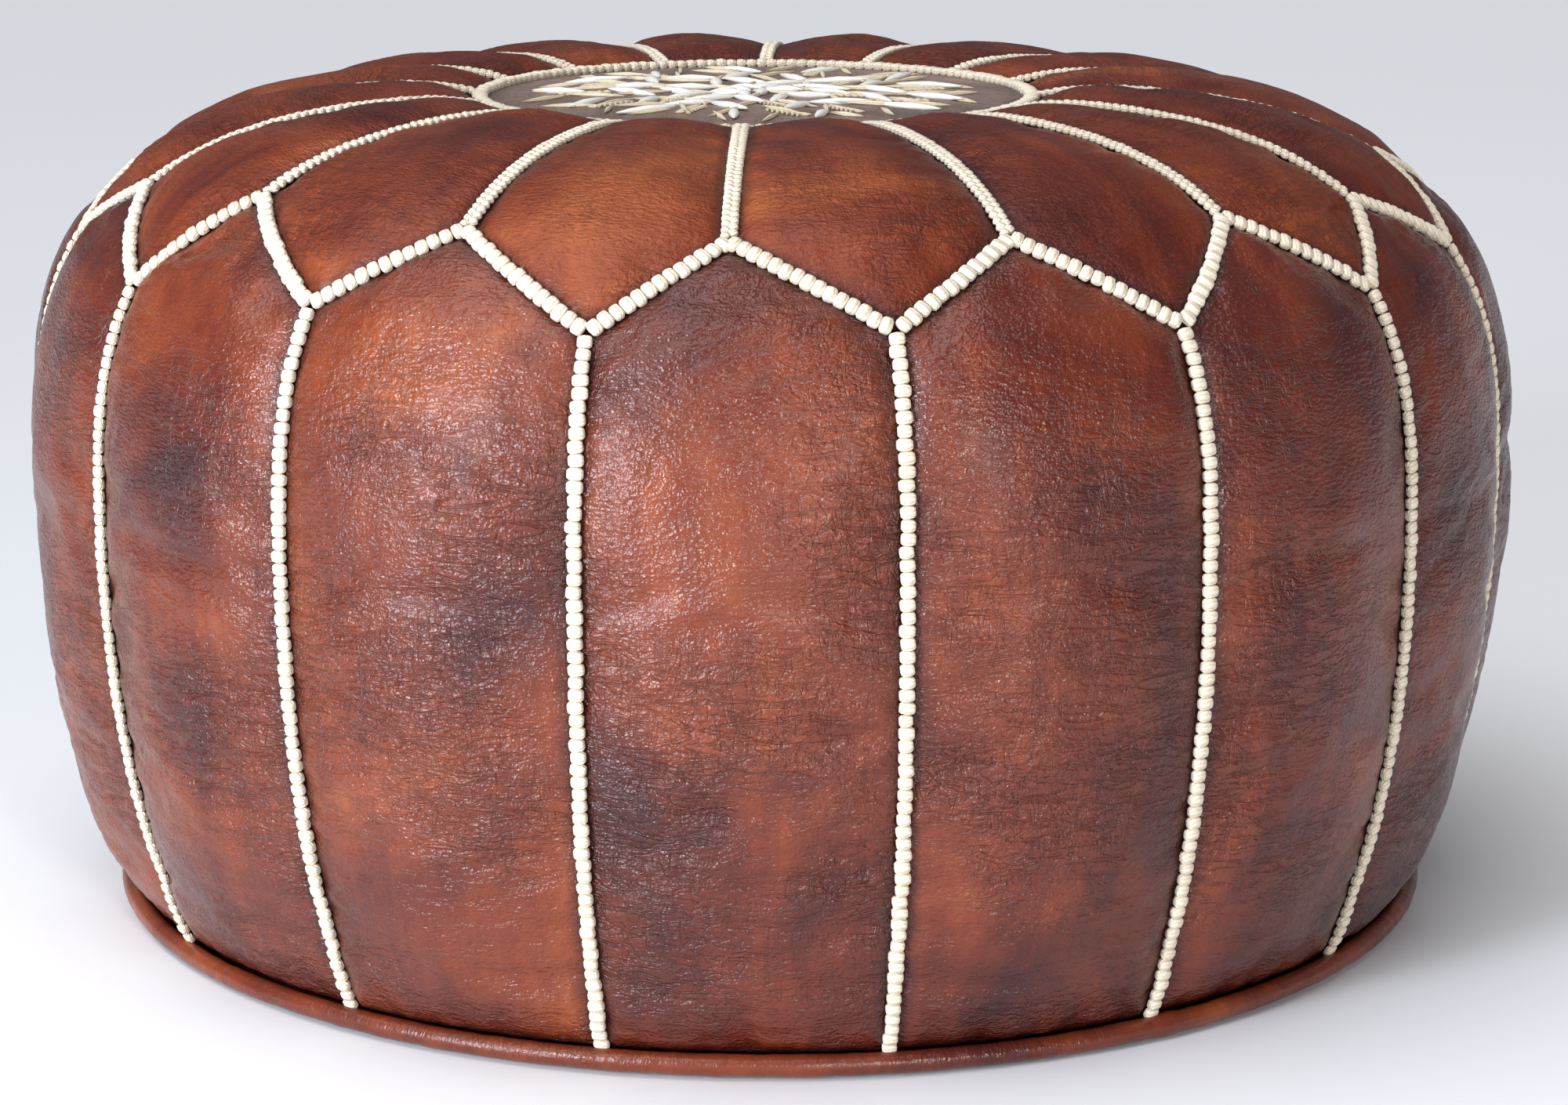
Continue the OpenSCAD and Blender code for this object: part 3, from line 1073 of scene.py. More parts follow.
@dataclass
class Skin:
    """The sewn leather skin: side panels and petals, filled out by a cloth simulation."""

    plan: SeamPlan
    swelling: Swelling = Swelling()
    marks: Wear = Wear()
    across: int = 24
    side_up: int = 70
    petal_up: int = 36
    leather: float = 1.6 * MM
    turning: float = 4 * MM
    checks: int = 20
    least_share: float = 0.31
    dye_luck: float = 0.035
    # Given tones of the side panels facing the camera: partly hide-to-hide dye difference, partly
    # painted light, lighter on the lit panel 11 and darker on the shaded right-hand panels 15 and 16.
    dye_and_painted_light: dict[int, float] = field(default_factory=lambda: {
        9: 0.0, 10: 0.01, 11: 0.045, 12: 0.0, 13: 0.005, 14: -0.005, 15: -0.03, 16: -0.03})
    wear: dict[str, float] = field(default_factory=lambda: {
        "side_panel_10": 0.5, "side_panel_11": 0.75, "side_panel_12": 0.85, "side_panel_13": 0.1,
        "side_panel_14": 0.3})
    settled: dict[str, list[Vector]] = field(default_factory=dict)
    pieces: dict[str, bpy.types.Object] = field(default_factory=dict)

    def cuts(self) -> list[Cut]:
        """Every panel of the skin."""
        return [Cut(part, i, self.plan) for part in SkinPart for i in range(1, PANELS + 1)]

    def _rows(self, cut: Cut) -> int:
        """How many rows of faces a panel has."""
        return self.side_up if cut.part is SkinPart.SIDE else self.petal_up

    def _blank(self, cut: Cut) -> bmesh.types.BMesh:
        """A panel as a fine grid laid on the outline, with its flat map and its own numbers.

        Args:
            cut: the panel.

        Returns:
            The mesh.
        """
        bm = bmesh.new()
        share_x, share_y = bm.verts.layers.float.new("across"), bm.verts.layers.float.new("up")
        bmesh.ops.create_grid(bm, x_segments=self.across, y_segments=self._rows(cut), size=0.5)
        for vert in bm.verts:
            vert[share_x], vert[share_y] = vert.co.x + 0.5, vert.co.y + 0.5
            shares = vert[share_x], vert[share_y]
            vert.co = self.plan.outline.spot(*cut.spot(*shares), self.swelling.out(cut, *shares))
        self._map(bm, cut, share_x, share_y)
        return bm

    def _map(self, bm: bmesh.types.BMesh, cut: Cut, share_x: object, share_y: object) -> None:
        """Lays a flat map in metres on a panel, moved by an own amount for each hide.

        Args:
            bm: the mesh.
            cut: the panel.
            share_x: the points' shares across.
            share_y: the points' shares up.
        """
        hide = bm.loops.layers.uv.new(HIDE_MAP)
        luck = random.Random(cut.name)
        shift = Vector((luck.uniform(1, 40), luck.uniform(1, 40)))
        middle = cut.spot(0.5, 0.5)[0]
        for face in bm.faces:
            for loop in face.loops:
                angle, length = cut.spot(loop.vert[share_x], loop.vert[share_y])
                radius = self.plan.outline.at(length).x
                loop[hide].uv = Vector(((angle - middle) * radius, length)) + shift

    def settle(self) -> None:
        """Fills the skin: every seam is held while cloth simulation swells the panels between them."""
        blanks = [(cut, self._blank(cut)) for cut in self.cuts()]
        whole, held, spans = bmesh.new(), [], []
        for cut, bm in blanks:
            start = len(held)
            held.extend(vert.is_boundary for vert in bm.verts)
            mesh = bpy.data.meshes.new("blank")
            bm.to_mesh(mesh)
            whole.from_mesh(mesh)
            bpy.data.meshes.remove(mesh)
            spans.append((cut, start, len(held)))
            bm.free()
        rest = [vert.co.copy() for vert in whole.verts]
        moved = self._swell(whole, held)
        for cut, start, end in spans:
            self.settled[cut.name] = [self._kept(rest[k], moved[k]) for k in range(start, end)]

    def _kept(self, rest: Vector, moved: Vector) -> Vector:
        """A settled point, no further from its start than the filling can push it.

        Args:
            rest: where it started.
            moved: where the cloth took it.

        Returns:
            The point.
        """
        step = moved - rest
        if step.length > self.swelling.most:
            step = step.normalized() * self.swelling.most
        return rest + step

    def _swell(self, whole: bmesh.types.BMesh, held: list[bool]) -> list[Vector]:
        """Runs the cloth on the joined panels.

        Args:
            whole: the joined panels; it is freed.
            held: for each point, whether a seam holds it.

        Returns:
            The points' places afterwards.
        """
        mesh = bpy.data.meshes.new("skin_work")
        whole.to_mesh(mesh)
        whole.free()
        work = bpy.data.objects.new("skin_work", mesh)
        scene = bpy.context.scene
        scene.collection.objects.link(work)
        group = work.vertex_groups.new(name="seams")
        group.add([k for k, still in enumerate(held) if still], 1.0, "REPLACE")
        cloth = work.modifiers.new("cloth", "CLOTH")
        made = cloth.settings
        made.vertex_group_mass = "seams"
        made.pin_stiffness = 1.0
        made.quality = self.swelling.quality
        made.mass = self.swelling.weight
        made.tension_stiffness = made.compression_stiffness = self.swelling.stiffness
        made.shear_stiffness = self.swelling.stiffness
        made.bending_stiffness = self.swelling.bending
        made.tension_damping = made.compression_damping = self.swelling.damping
        made.air_damping = self.swelling.air
        made.use_pressure = True
        made.uniform_pressure_force = self.swelling.pressure
        made.shrink_min = self.swelling.growth
        made.effector_weights.gravity = 0.0
        cloth.collision_settings.use_collision = False
        cloth.collision_settings.use_self_collision = False
        cloth.point_cache.frame_start, cloth.point_cache.frame_end = 1, self.swelling.frames
        for frame in range(1, self.swelling.frames + 1):
            scene.frame_set(frame)
        seen = work.evaluated_get(bpy.context.evaluated_depsgraph_get())
        moved = [vert.co.copy() for vert in seen.data.vertices]
        scene.frame_set(1)
        bpy.data.objects.remove(work)
        bpy.data.meshes.remove(mesh)
        return moved

    def _finer(self, cut: Cut) -> bmesh.types.BMesh:
        """The settled panel with each face cut in four along a smooth surface.

        Args:
            cut: the panel.

        Returns:
            The fine mesh.
        """
        bm = self._blank(cut)
        for vert, place in zip(bm.verts, self.settled[cut.name]):
            vert.co = place
        mesh = bpy.data.meshes.new("coarse")
        bm.to_mesh(mesh)
        bm.free()
        work = bpy.data.objects.new("coarse", mesh)
        bpy.context.scene.collection.objects.link(work)
        smooth = work.modifiers.new("finer", "SUBSURF")
        smooth.levels = smooth.render_levels = 1
        smooth.boundary_smooth = "PRESERVE_CORNERS"
        seen = work.evaluated_get(bpy.context.evaluated_depsgraph_get())
        fine = bmesh.new()
        fine.from_mesh(seen.to_mesh())
        seen.to_mesh_clear()
        bpy.data.objects.remove(work)
        bpy.data.meshes.remove(mesh)
        return fine

    def _relief(self, cut: Cut, place: Vector, spot: Spot, gaps: tuple[float, float]) -> float:
        """How far the worn leather stands out of or sinks into the filled shape, in metres.

        Args:
            cut: the panel.
            place: the point.
            spot: its angle and length.
            gaps: its distances to the side seams and the end seams.

        Returns:
            The distance along the outward direction.
        """
        marks, near = self.marks, min(gaps)
        seed = 3.7 * cut.number + (50.0 if cut.part is SkinPart.PETAL else 0.0)
        length = spot[1]
        across = spot[0] * self.plan.outline.at(length).x
        groove = -marks.groove * math.exp(-(near / marks.groove_reach) ** 2)
        lumps = sum(deep * hum(place, size, seed + 9 * k) for k, (deep, size) in enumerate(marks.lumps))
        along = length if gaps[0] < gaps[1] else across
        pucker = noise.noise(Vector((along / marks.pucker_size[0], near / marks.pucker_size[1], seed)))
        pull = marks.pucker * pucker * math.exp(-near / marks.held_reach)
        pull *= min(1.0, near / marks.pucker_start)
        patch = noise.noise(Vector((across / marks.patch[0], length / marks.patch[1], seed)))
        worn = max(0.0, self.wear.get(cut.name, marks.usual) + patch)
        fold = noise.noise(Vector((across / marks.fold_size[0], length / marks.fold_size[1], seed + 4)))
        fine = noise.noise(Vector((across / marks.fine_size[0] + length / marks.fine_slant,
                                   length / marks.fine_size[1], seed + 8)))
        crease = -marks.fold * worn * max(0.0, 1 - marks.fold_edge * abs(fold))
        crease -= marks.fine * worn * max(0.0, 1 - marks.fine_edge * abs(fine))
        return groove + min(1.0, near / marks.held_reach) * (lumps + crease) + pull

    def make(self, sides: bpy.types.Material, petals: bpy.types.Material) -> None:
        """Settles, details and dresses every panel.

        Args:
            sides: the side panels' leather.
            petals: the petals' leather.
        """
        self.settle()
        for cut in self.cuts():
            is_side = cut.part is SkinPart.SIDE
            bm = self._finer(cut)
            self._detail(bm, cut)
            piece = hand_over(bm, f"leather_{cut.name}", sides if is_side else petals, Body.COVER,
                              (cut.name,))
            wall(piece, self.leather)
            self.pieces[cut.name] = piece

    def tone(self, cut: Cut) -> float:
        """How much lighter than the rest a panel is coloured: a random dye difference, but on side
        panels 9 to 16 given values that are partly painted light: lighter on the lit panel 11, darker on
        the shaded right-hand panels 15 and 16.

        Args:
            cut: the panel.

        Returns:
            The change in colour.
        """
        if cut.part is SkinPart.SIDE and cut.number in self.dye_and_painted_light:
            return self.dye_and_painted_light[cut.number]
        return random.Random(cut.name + "dye").uniform(-self.dye_luck, self.dye_luck)

    def _detail(self, bm: bmesh.types.BMesh, cut: Cut) -> None:
        """Moves a fine panel's points by the relief, and notes the seams' nearness and the panel's tone,
        which is partly painted light on some side panels.

        Args:
            bm: the mesh.
            cut: the panel.
        """
        gap_layer = bm.verts.layers.float.new(GAP_NAME)
        shade_layer = bm.verts.layers.float.new(SHADE_NAME)
        share_x, share_y = bm.verts.layers.float["across"], bm.verts.layers.float["up"]
        tone = self.tone(cut)
        moves = []
        for vert in bm.verts:
            across = min(max(vert[share_x], 0.0), 1.0)
            up = min(max(vert[share_y], 0.0), 1.0)
            spot, gaps = cut.spot(across, up), cut.gaps(across, up)
            vert[gap_layer] = max(0.0, min(gaps))
            vert[shade_layer] = tone
            flat = self.plan.outline.outward(spot[1])
            out = Vector((flat.x * math.cos(spot[0]), flat.x * math.sin(spot[0]), flat.y))
            moves.append((vert, out * self._relief(cut, vert.co, spot, gaps)))
        for vert, move in moves:
            vert.co += move

    def declare(self) -> None:
        """Works out each panel's cut width and length and the share of that rectangle it fills, and
        keeps none of them.
        """
        for cut in self.cuts():
            width, length, share = self._flat(cut)

    def _flat(self, cut: Cut) -> tuple[float, float, float]:
        """A panel's cut width and length, and the share of that rectangle that it fills.

        Args:
            cut: the panel.

        Returns:
            The width, the length and the share.
        """
        low, high = cut.spot(0.5, 0.0), cut.spot(0.5, 1.0)
        widest = 0.0
        for k in range(self.checks + 1):
            left, right = cut.spot(0.0, k / self.checks), cut.spot(1.0, k / self.checks)
            radius = self.plan.outline.at(0.5 * (left[1] + right[1])).x
            widest = max(widest, (right[0] - left[0]) * radius)
        width, length = widest + self.turning, high[1] - low[1] + self.turning
        faces = sum(face.area for face in self.pieces[cut.name].data.polygons)
        return width, length, min(1.0, max(self.least_share, faces / (width * length)))


# ---------------------------------------------------------------- thread work


def keep_numbers(bm: bmesh.types.BMesh, gap: float, shade: float) -> None:
    """Gives every point the same nearness to a seam and depth of dye.

    Args:
        bm: the mesh.
        gap: the nearness, in metres.
        shade: how much lighter the dye is.
    """
    gap_layer = bm.verts.layers.float.new(GAP_NAME)
    shade_layer = bm.verts.layers.float.new(SHADE_NAME)
    for vert in bm.verts:
        vert[gap_layer], vert[shade_layer] = gap, shade


def map_by(bm: bmesh.types.BMesh, name: str, rule: object) -> None:
    """Lays a flat map on a mesh by a rule from a point to its two numbers.

    Args:
        bm: the mesh.
        name: the map's name.
        rule: the rule.
    """
    layer = bm.loops.layers.uv.new(name)
    for face in bm.faces:
        for loop in face.loops:
            loop[layer].uv = rule(loop.vert.co)


@dataclass(frozen=True)
class Bead:
    """One stitch as a small pillow of thread, its long axis along Z before it is laid."""

    around: int = 8
    along: int = 6
    square: float = 0.62
    taper: float = 0.0

    def mesh(self) -> bpy.types.Mesh:
        """Makes the bead, of radius 1, with strands mapped round it.

        Returns:
            The mesh.
        """
        bm = bmesh.new()
        bm.loops.layers.uv.new(STRAND_MAP)
        bmesh.ops.create_uvsphere(bm, u_segments=self.around, v_segments=self.along, radius=1.0,
                                  calc_uvs=True)
        for vert in bm.verts:
            x, y, z = vert.co
            full = [math.copysign(abs(c) ** self.square, c) for c in (x, y, z)]
            slim = 1.0 - self.taper * abs(z) ** 1.5
            vert.co = Vector((full[0] * slim, full[1] * slim, full[2]))
        mesh = bpy.data.meshes.new("bead")
        bm.to_mesh(mesh)
        bm.free()
        return mesh


@dataclass(frozen=True)
class Laid:
    """Where one bead lies: its middle, its outward and along directions, and its half sizes."""

    middle: Vector
    out: Vector
    along: Vector
    half: Vector
    tilt: float = 0.0

    def matrix(self) -> Matrix:
        """The bead's place: its Z goes across the seam, its X along it and its Y outward.

        Returns:
            The matrix that lays a bead there.
        """
        along = (self.along - self.out * self.along.dot(self.out)).normalized()
        across = along.cross(self.out).normalized()
        turned = math.cos(self.tilt) * across + math.sin(self.tilt) * along
        line = turned.cross(self.out).normalized()
        rows = Matrix((line, self.out, turned)).transposed().to_4x4()
        return Matrix.Translation(self.middle) @ rows @ Matrix.Diagonal((*self.half, 1.0))


def lay_beads(shape: Bead, places: list[Laid]) -> bmesh.types.BMesh:
    """Lays one bead shape at many places, in one mesh with its faces outward.

    Args:
        shape: the bead.
        places: where each one lies.

    Returns:
        The mesh.
    """
    unit = shape.mesh()
    bm = bmesh.new()
    for place in places:
        copy = unit.copy()
        copy.transform(place.matrix())
        bm.from_mesh(copy)
        bpy.data.meshes.remove(copy)
    bpy.data.meshes.remove(unit)
    bmesh.ops.recalc_face_normals(bm, faces=bm.faces)
    return bm


@dataclass
class ThreadSeams:
    """The thread seams of the skin: pillow stitches on the zigzag and sides, plaited petal seams."""

    plan: SeamPlan
    swelling: Swelling
    pitch: float = 4.0 * MM
    half_width: float = 2.62 * MM
    half_height: float = 1.65 * MM
    lift: float = 1.25 * MM
    plait_pitch: float = 3.0 * MM
    plait_apart: float = 1.10 * MM
    plait_half: Spot = (1.25 * MM, 1.45 * MM)
    plait_sink: float = 0.20 * MM
    plait_lean: float = 0.50
    fill: float = 0.55
    fine: int = 160
    luck: random.Random = field(default_factory=lambda: random.Random(16))

    def _lift_at(self, spot: Spot) -> float:
        """How far out a seam lies there."""
        return self.swelling.seam_out(self.plan.outline, spot[1]) + self.lift

    def _walk(self, start: Spot, end: Spot, pitch: float, trim: tuple[float, float]) -> list[tuple]:
        """Even steps along a seam.

        Args:
            start: one end.
            end: the other end.
            pitch: the step, in metres.
            trim: the lengths left out at the two ends.

        Returns:
            For each step its point, its outward direction and its direction along the seam.
        """
        outline, fine = self.plan.outline, self.fine
        spots = [between(start, end, k / fine) for k in range(fine + 1)]
        points = [outline.spot(*spot, self._lift_at(spot)) for spot in spots]
        lengths = [0.0]
        for before, here in zip(points, points[1:]):
            lengths.append(lengths[-1] + (here - before).length)
        usable = lengths[-1] - trim[0] - trim[1]
        count = max(1, round(usable / pitch))
        steps = []
        for k in range(count):
            goal = trim[0] + (k + 0.5) * usable / count
            high = min(max(bisect_left(lengths, goal), 1), fine)
            share = (goal - lengths[high - 1]) / max(1e-9, lengths[high] - lengths[high - 1])
            point = points[high - 1].lerp(points[high], share)
            along = (points[min(high + 2, fine)] - points[max(high - 3, 0)]).normalized()
            spot = between(spots[high - 1], spots[high], share)
            up = outline.spot(*spot, MM) - outline.spot(*spot, 0.0)
            steps.append((point, up.normalized(), along))
        return steps

    def _pillow(self, point: Vector, out: Vector, along: Vector, size: float = 1.0) -> Laid:
        """One pillow stitch, a little uneven.

        Args:
            point: its middle.
            out: the outward direction.
            along: the direction along the seam.
            size: its width, as a share.

        Returns:
            Where it lies.
        """
        luck = self.luck
        shift = along.cross(out) * luck.gauss(0, 0.16 * MM)
        half = Vector((self.fill * self.pitch * luck.uniform(0.90, 1.02),
                       self.half_height * luck.uniform(0.86, 1.12),
                       self.half_width * size * luck.uniform(0.90, 1.07)))
        return Laid(point + shift, out, along, half, luck.gauss(0.05, 0.07))

    def _plait(self, steps: list[tuple]) -> list[Laid]:
        """Two columns of slanted stitches that make a flat plait.

        Args:
            steps: the steps along the seam.

        Returns:
            Where they lie.
        """
        laid = []
        for point, out, along in steps:
            across = along.cross(out).normalized()
            for side in (-1, 1):
                middle = point + side * (across * self.plait_apart + along * 0.25 * self.plait_pitch)
                half = Vector((0.52 * self.plait_pitch * self.luck.uniform(0.85, 1.02),
                               self.plait_half[0] * self.luck.uniform(0.85, 1.1),
                               self.plait_half[1] * self.luck.uniform(0.9, 1.05)))
                laid.append(Laid(middle - out * self.plait_sink, out, along, half,
                                 side * self.plait_lean + self.luck.gauss(0, 0.10)))
        return laid

    def zigzag(self) -> list[Laid]:
        """The stitches of the zigzag between the petals and the side panels.

        Returns:
            Where they lie.
        """
        laid, trim = [], (1.1 * MM, 0.2 * MM)
        for i in range(1, PANELS + 1):
            for end in (self.plan.peak(i - 1), self.plan.peak(i)):
                start = self.plan.valley(i)
                if end[0] - start[0] > math.pi:
                    end = (end[0] - FULL_TURN, end[1])
                laid += [self._pillow(*step, 1.04) for step in self._walk(start, end, self.pitch, trim)]
        return laid

    def sides(self) -> list[Laid]:
        """The stitches of the sixteen upright seams.

        Returns:
            Where they lie.
        """
        laid = []
        for i in range(1, PANELS + 1):
            steps = self._walk(self.plan.foot(i), self.plan.valley(i), self.pitch, (2.2 * MM, 1.0 * MM))
            laid += [self._pillow(*step, 0.94) for step in steps]
        return laid

    def petals(self) -> list[Laid]:
        """The plaited seams between the petals.

        Returns:
            Where they lie.
        """
        laid = []
        for i in range(1, PANELS + 1):
            laid += self._plait(self._walk(self.plan.peak(i), self.plan.crown(i), self.plait_pitch,
                                           (1.6 * MM, 2.0 * MM)))
        return laid

    def ring(self) -> list[Laid]:
        """The stitches round the medallion.

        Returns:
            Where they lie.
        """
        full = self.plan.outline.full_length()
        laid = []
        for i in range(PANELS):
            start, end = i * self.plan.sector, (i + 1) * self.plan.sector
            steps = self._walk((start, full), (end, full), self.pitch, (0.0, 0.0))
            laid += [self._pillow(point, out, along) for point, out, along in steps]
        return laid

    def make(self, thread: bpy.types.Material) -> None:
        """Makes and dresses the four groups of seams.

        Args:
            thread: the thread.
        """
        bead = Bead()
        for name, laid in (("zigzag_stitching", self.zigzag()), ("side_stitching", self.sides()),
                           ("petal_stitching", self.petals()), ("medallion_stitching", self.ring())):
            hand_over(lay_beads(bead, laid), f"thread_{name}", thread, Body.COVER,
                      (name,))


# ---------------------------------------------------------------- medallion and embroidery


@dataclass
class Medallion:
    """The round leather centre of the top, a little sunk and crowned, with raised embroidery on it."""

    plan: SeamPlan
    swelling: Swelling
    rings: int = 44
    turns: int = 160
    leather: float = 1.6 * MM
    crown: float = 1.9 * MM
    leaflet: Spot = (2.7 * MM, 0.62 * MM)
    spine: float = 9.5 * MM
    leaflet_step: float = 2.5 * MM
    leaflet_reach: float = 1.9 * MM
    splay: float = 0.72
    luck: random.Random = field(default_factory=lambda: random.Random(97))

    def rim(self) -> float:
        """How far below the outline's top the edge lies."""
        return self.swelling.seam_out(self.plan.outline, self.plan.outline.full_length())

    def surface(self, x: float, y: float) -> Vector:
        """The point of the leather at a place measured from the medallion's own centre.

        Args:
            x: its x from there.
            y: its y from there.

        Returns:
            The point.
        """
        outline = self.plan.outline
        shift = outline.crown_shift
        share = min(1.0, math.hypot(x, y) / outline.medallion_radius)
        crown = (1.0 - share ** 4) * self.crown
        spot = Vector((x, y, 0.0))
        lumps = (0.9 * hum(spot, 38 * MM, 5.0) + 0.4 * hum(spot, 15 * MM, 8.0)) * MM * (1.0 - share ** 6)
        return Vector((x + shift.x, y + shift.y, outline.top_height + self.rim() + crown + lumps))

    def make_leather(self, finish: bpy.types.Material) -> bpy.types.Object:
        """Makes the disc by turning a line about the upright axis.

        Args:
            finish: the leather.

        Returns:
            The disc.
        """
        bm = bmesh.new()
        edge = self.plan.outline.medallion_radius
        line = [bm.verts.new((edge * k / self.rings, 0.0, 0.0)) for k in range(self.rings + 1)]
        edges = [bm.edges.new(pair) for pair in zip(line, line[1:])]
        bmesh.ops.spin(bm, geom=line + edges, cent=(0, 0, 0), axis=(0, 0, 1), angle=FULL_TURN,
                       steps=self.turns, use_merge=True)
        bmesh.ops.remove_doubles(bm, verts=bm.verts, dist=SAME_POINT)
        map_by(bm, HIDE_MAP, lambda co: Vector((co.x + 3.0, co.y + 7.0)))
        keep_numbers(bm, 0.05, 0.0)
        gap_layer = bm.verts.layers.float[GAP_NAME]
        for vert in bm.verts:
            vert[gap_layer] = edge - vert.co.xy.length
            vert.co = self.surface(vert.co.x, vert.co.y)
        bmesh.ops.recalc_face_normals(bm, faces=bm.faces)
        if sum(face.normal.z for face in bm.faces) < 0:
            bmesh.ops.reverse_faces(bm, faces=bm.faces)
        piece = hand_over(bm, "leather_medallion", finish, Body.COVER,
                          ("medallion",))
        wall(piece, self.leather)
        return piece

    def _leaf(self, radius: float, angle: float, turn: float, half: Spot, rise: float,
              lean: float = 0.0) -> Laid:
        """One raised leaf or spike.

        Args:
            radius: how far its middle is from the centre.
            angle: its direction from the centre.
            turn: how far it is turned from pointing outward.
            half: half its length and half its width.
            rise: half its height.
            lean: how far its middle stands above the leather.

        Returns:
            Its place.
        """
        x, y = radius * math.cos(angle), radius * math.sin(angle)
        heading = angle + turn
        reach = Vector((math.cos(heading), math.sin(heading)))
        middle = self.surface(x, y)
        step = 3 * MM
        ahead = self.surface(x + reach.x * step, y + reach.y * step)
        behind = self.surface(x - reach.x * step, y - reach.y * step)
        line = (ahead - behind).normalized()
        side = Vector((-reach.y, reach.x, 0.0))
        out = line.cross(side).normalized()
        out = out if out.z > 0 else -out
        return Laid(middle + out * lean, out, side, Vector((half[1], rise, half[0])))

    def _comb(self, radius: float, angle: float, turn: float, size: float) -> list[Laid]:
        """A feathered spray: a spine with pairs of little leaflets.

        Args:
            radius: how far its middle is from the centre.
            angle: its direction from the centre.
            turn: how far it is turned from pointing outward.
            size: how large it is, as a share.

        Returns:
            Where the spine and the leaflets lie.
        """
        long, wide = self.leaflet
        laid = [self._leaf(radius, angle, turn, (self.spine * size, wide), 0.8 * MM, 0.45 * MM)]
        heading = angle + turn
        for k in range(-3, 4):
            along = k * self.leaflet_step * size
            x = radius * math.cos(angle) + along * math.cos(heading)
            y = radius * math.sin(angle) + along * math.sin(heading)
            for side in (-1, 1):
                splay = heading + side * self.splay
                px = x + self.leaflet_reach * math.cos(splay)
                py = y + self.leaflet_reach * math.sin(splay)
                own = math.atan2(py, px)
                laid.append(self._leaf(math.hypot(px, py), own, splay - own,
                                       (long * size * self.luck.uniform(0.8, 1.15), wide),
                                       0.75 * MM, 0.4 * MM))
        return laid

    def white_leaves(self) -> list[Laid]:
        """The shiny white leaves, in four rings that point outward.

        Returns:
            Where they lie.
        """
        laid = []
        rows = ((10, 10.0, 8.0, 2.1, 0.45), (13, 26.0, 11.5, 2.4, 0.60),
                (15, 45.0, 12.0, 2.4, 0.65), (13, 66.0, 12.0, 2.1, 0.50))
        for row, (count, radius, half, width, lean) in enumerate(rows):
            for k in range(count):
                angle = FULL_TURN * (k + 0.5 * (row % 2)) / count + self.luck.gauss(0, 0.035)
                turn = lean * (1 if k % 2 else -1) + self.luck.gauss(0, 0.12)
                size = self.luck.uniform(0.82, 1.12)
                laid.append(self._leaf((radius + self.luck.gauss(0, 1.2)) * MM, angle, turn,
                                       (half * size * MM, width * size * MM), 1.35 * MM, 0.75 * MM))
        return laid

    def cream_strokes(self) -> list[Laid]:
        """The cream cords: spikes, zigzags and feathered sprays.

        Returns:
            Where they lie.
        """
        laid = []
        spikes = ((8, 20.0, 12.0, 0.40), (14, 38.0, 13.0, 0.50),
                  (20, 57.0, 14.0, 0.42), (22, 72.0, 10.0, 0.50))
        for row, (count, radius, half, lean) in enumerate(spikes):
            for k in range(count):
                angle = FULL_TURN * (k + 0.3 * row) / count + self.luck.gauss(0, 0.025)
                turn = lean * (1 if k % 2 else -1) + self.luck.gauss(0, 0.10)
                length = half * self.luck.uniform(0.8, 1.15)
                laid.append(self._leaf((radius + self.luck.gauss(0, 1.5)) * MM, angle, turn,
                                       (length * MM, 0.78 * MM), 0.95 * MM, 0.65 * MM))
        for k in range(12):
            angle = FULL_TURN * (k + 0.25) / 12 + self.luck.gauss(0, 0.05)
            laid += self._comb((58 + self.luck.gauss(0, 3)) * MM, angle, self.luck.gauss(0, 0.3), 1.05)
        for k in range(6):
            angle = FULL_TURN * (k + 0.6) / 6
            laid += self._comb(33 * MM, angle, 0.5, 0.9)
        return laid

    def make_embroidery(self, cream: bpy.types.Material, white: bpy.types.Material) -> None:
        """Makes the cream and white embroidery.

        Args:
            cream: the cream thread.
            white: the white thread.
        """
        slim = Bead(around=8, along=6, square=0.95, taper=0.72)
        full = Bead(around=8, along=6, square=0.90, taper=0.62)
        hand_over(lay_beads(slim, self.cream_strokes()), "thread_embroidery_cream", cream, Body.COVER,
                  ("embroidery_cream",))
        hand_over(lay_beads(full, self.white_leaves()), "thread_embroidery_white", white, Body.COVER,
                  ("embroidery_white",))


# ---------------------------------------------------------------- welt, base, zip and filling


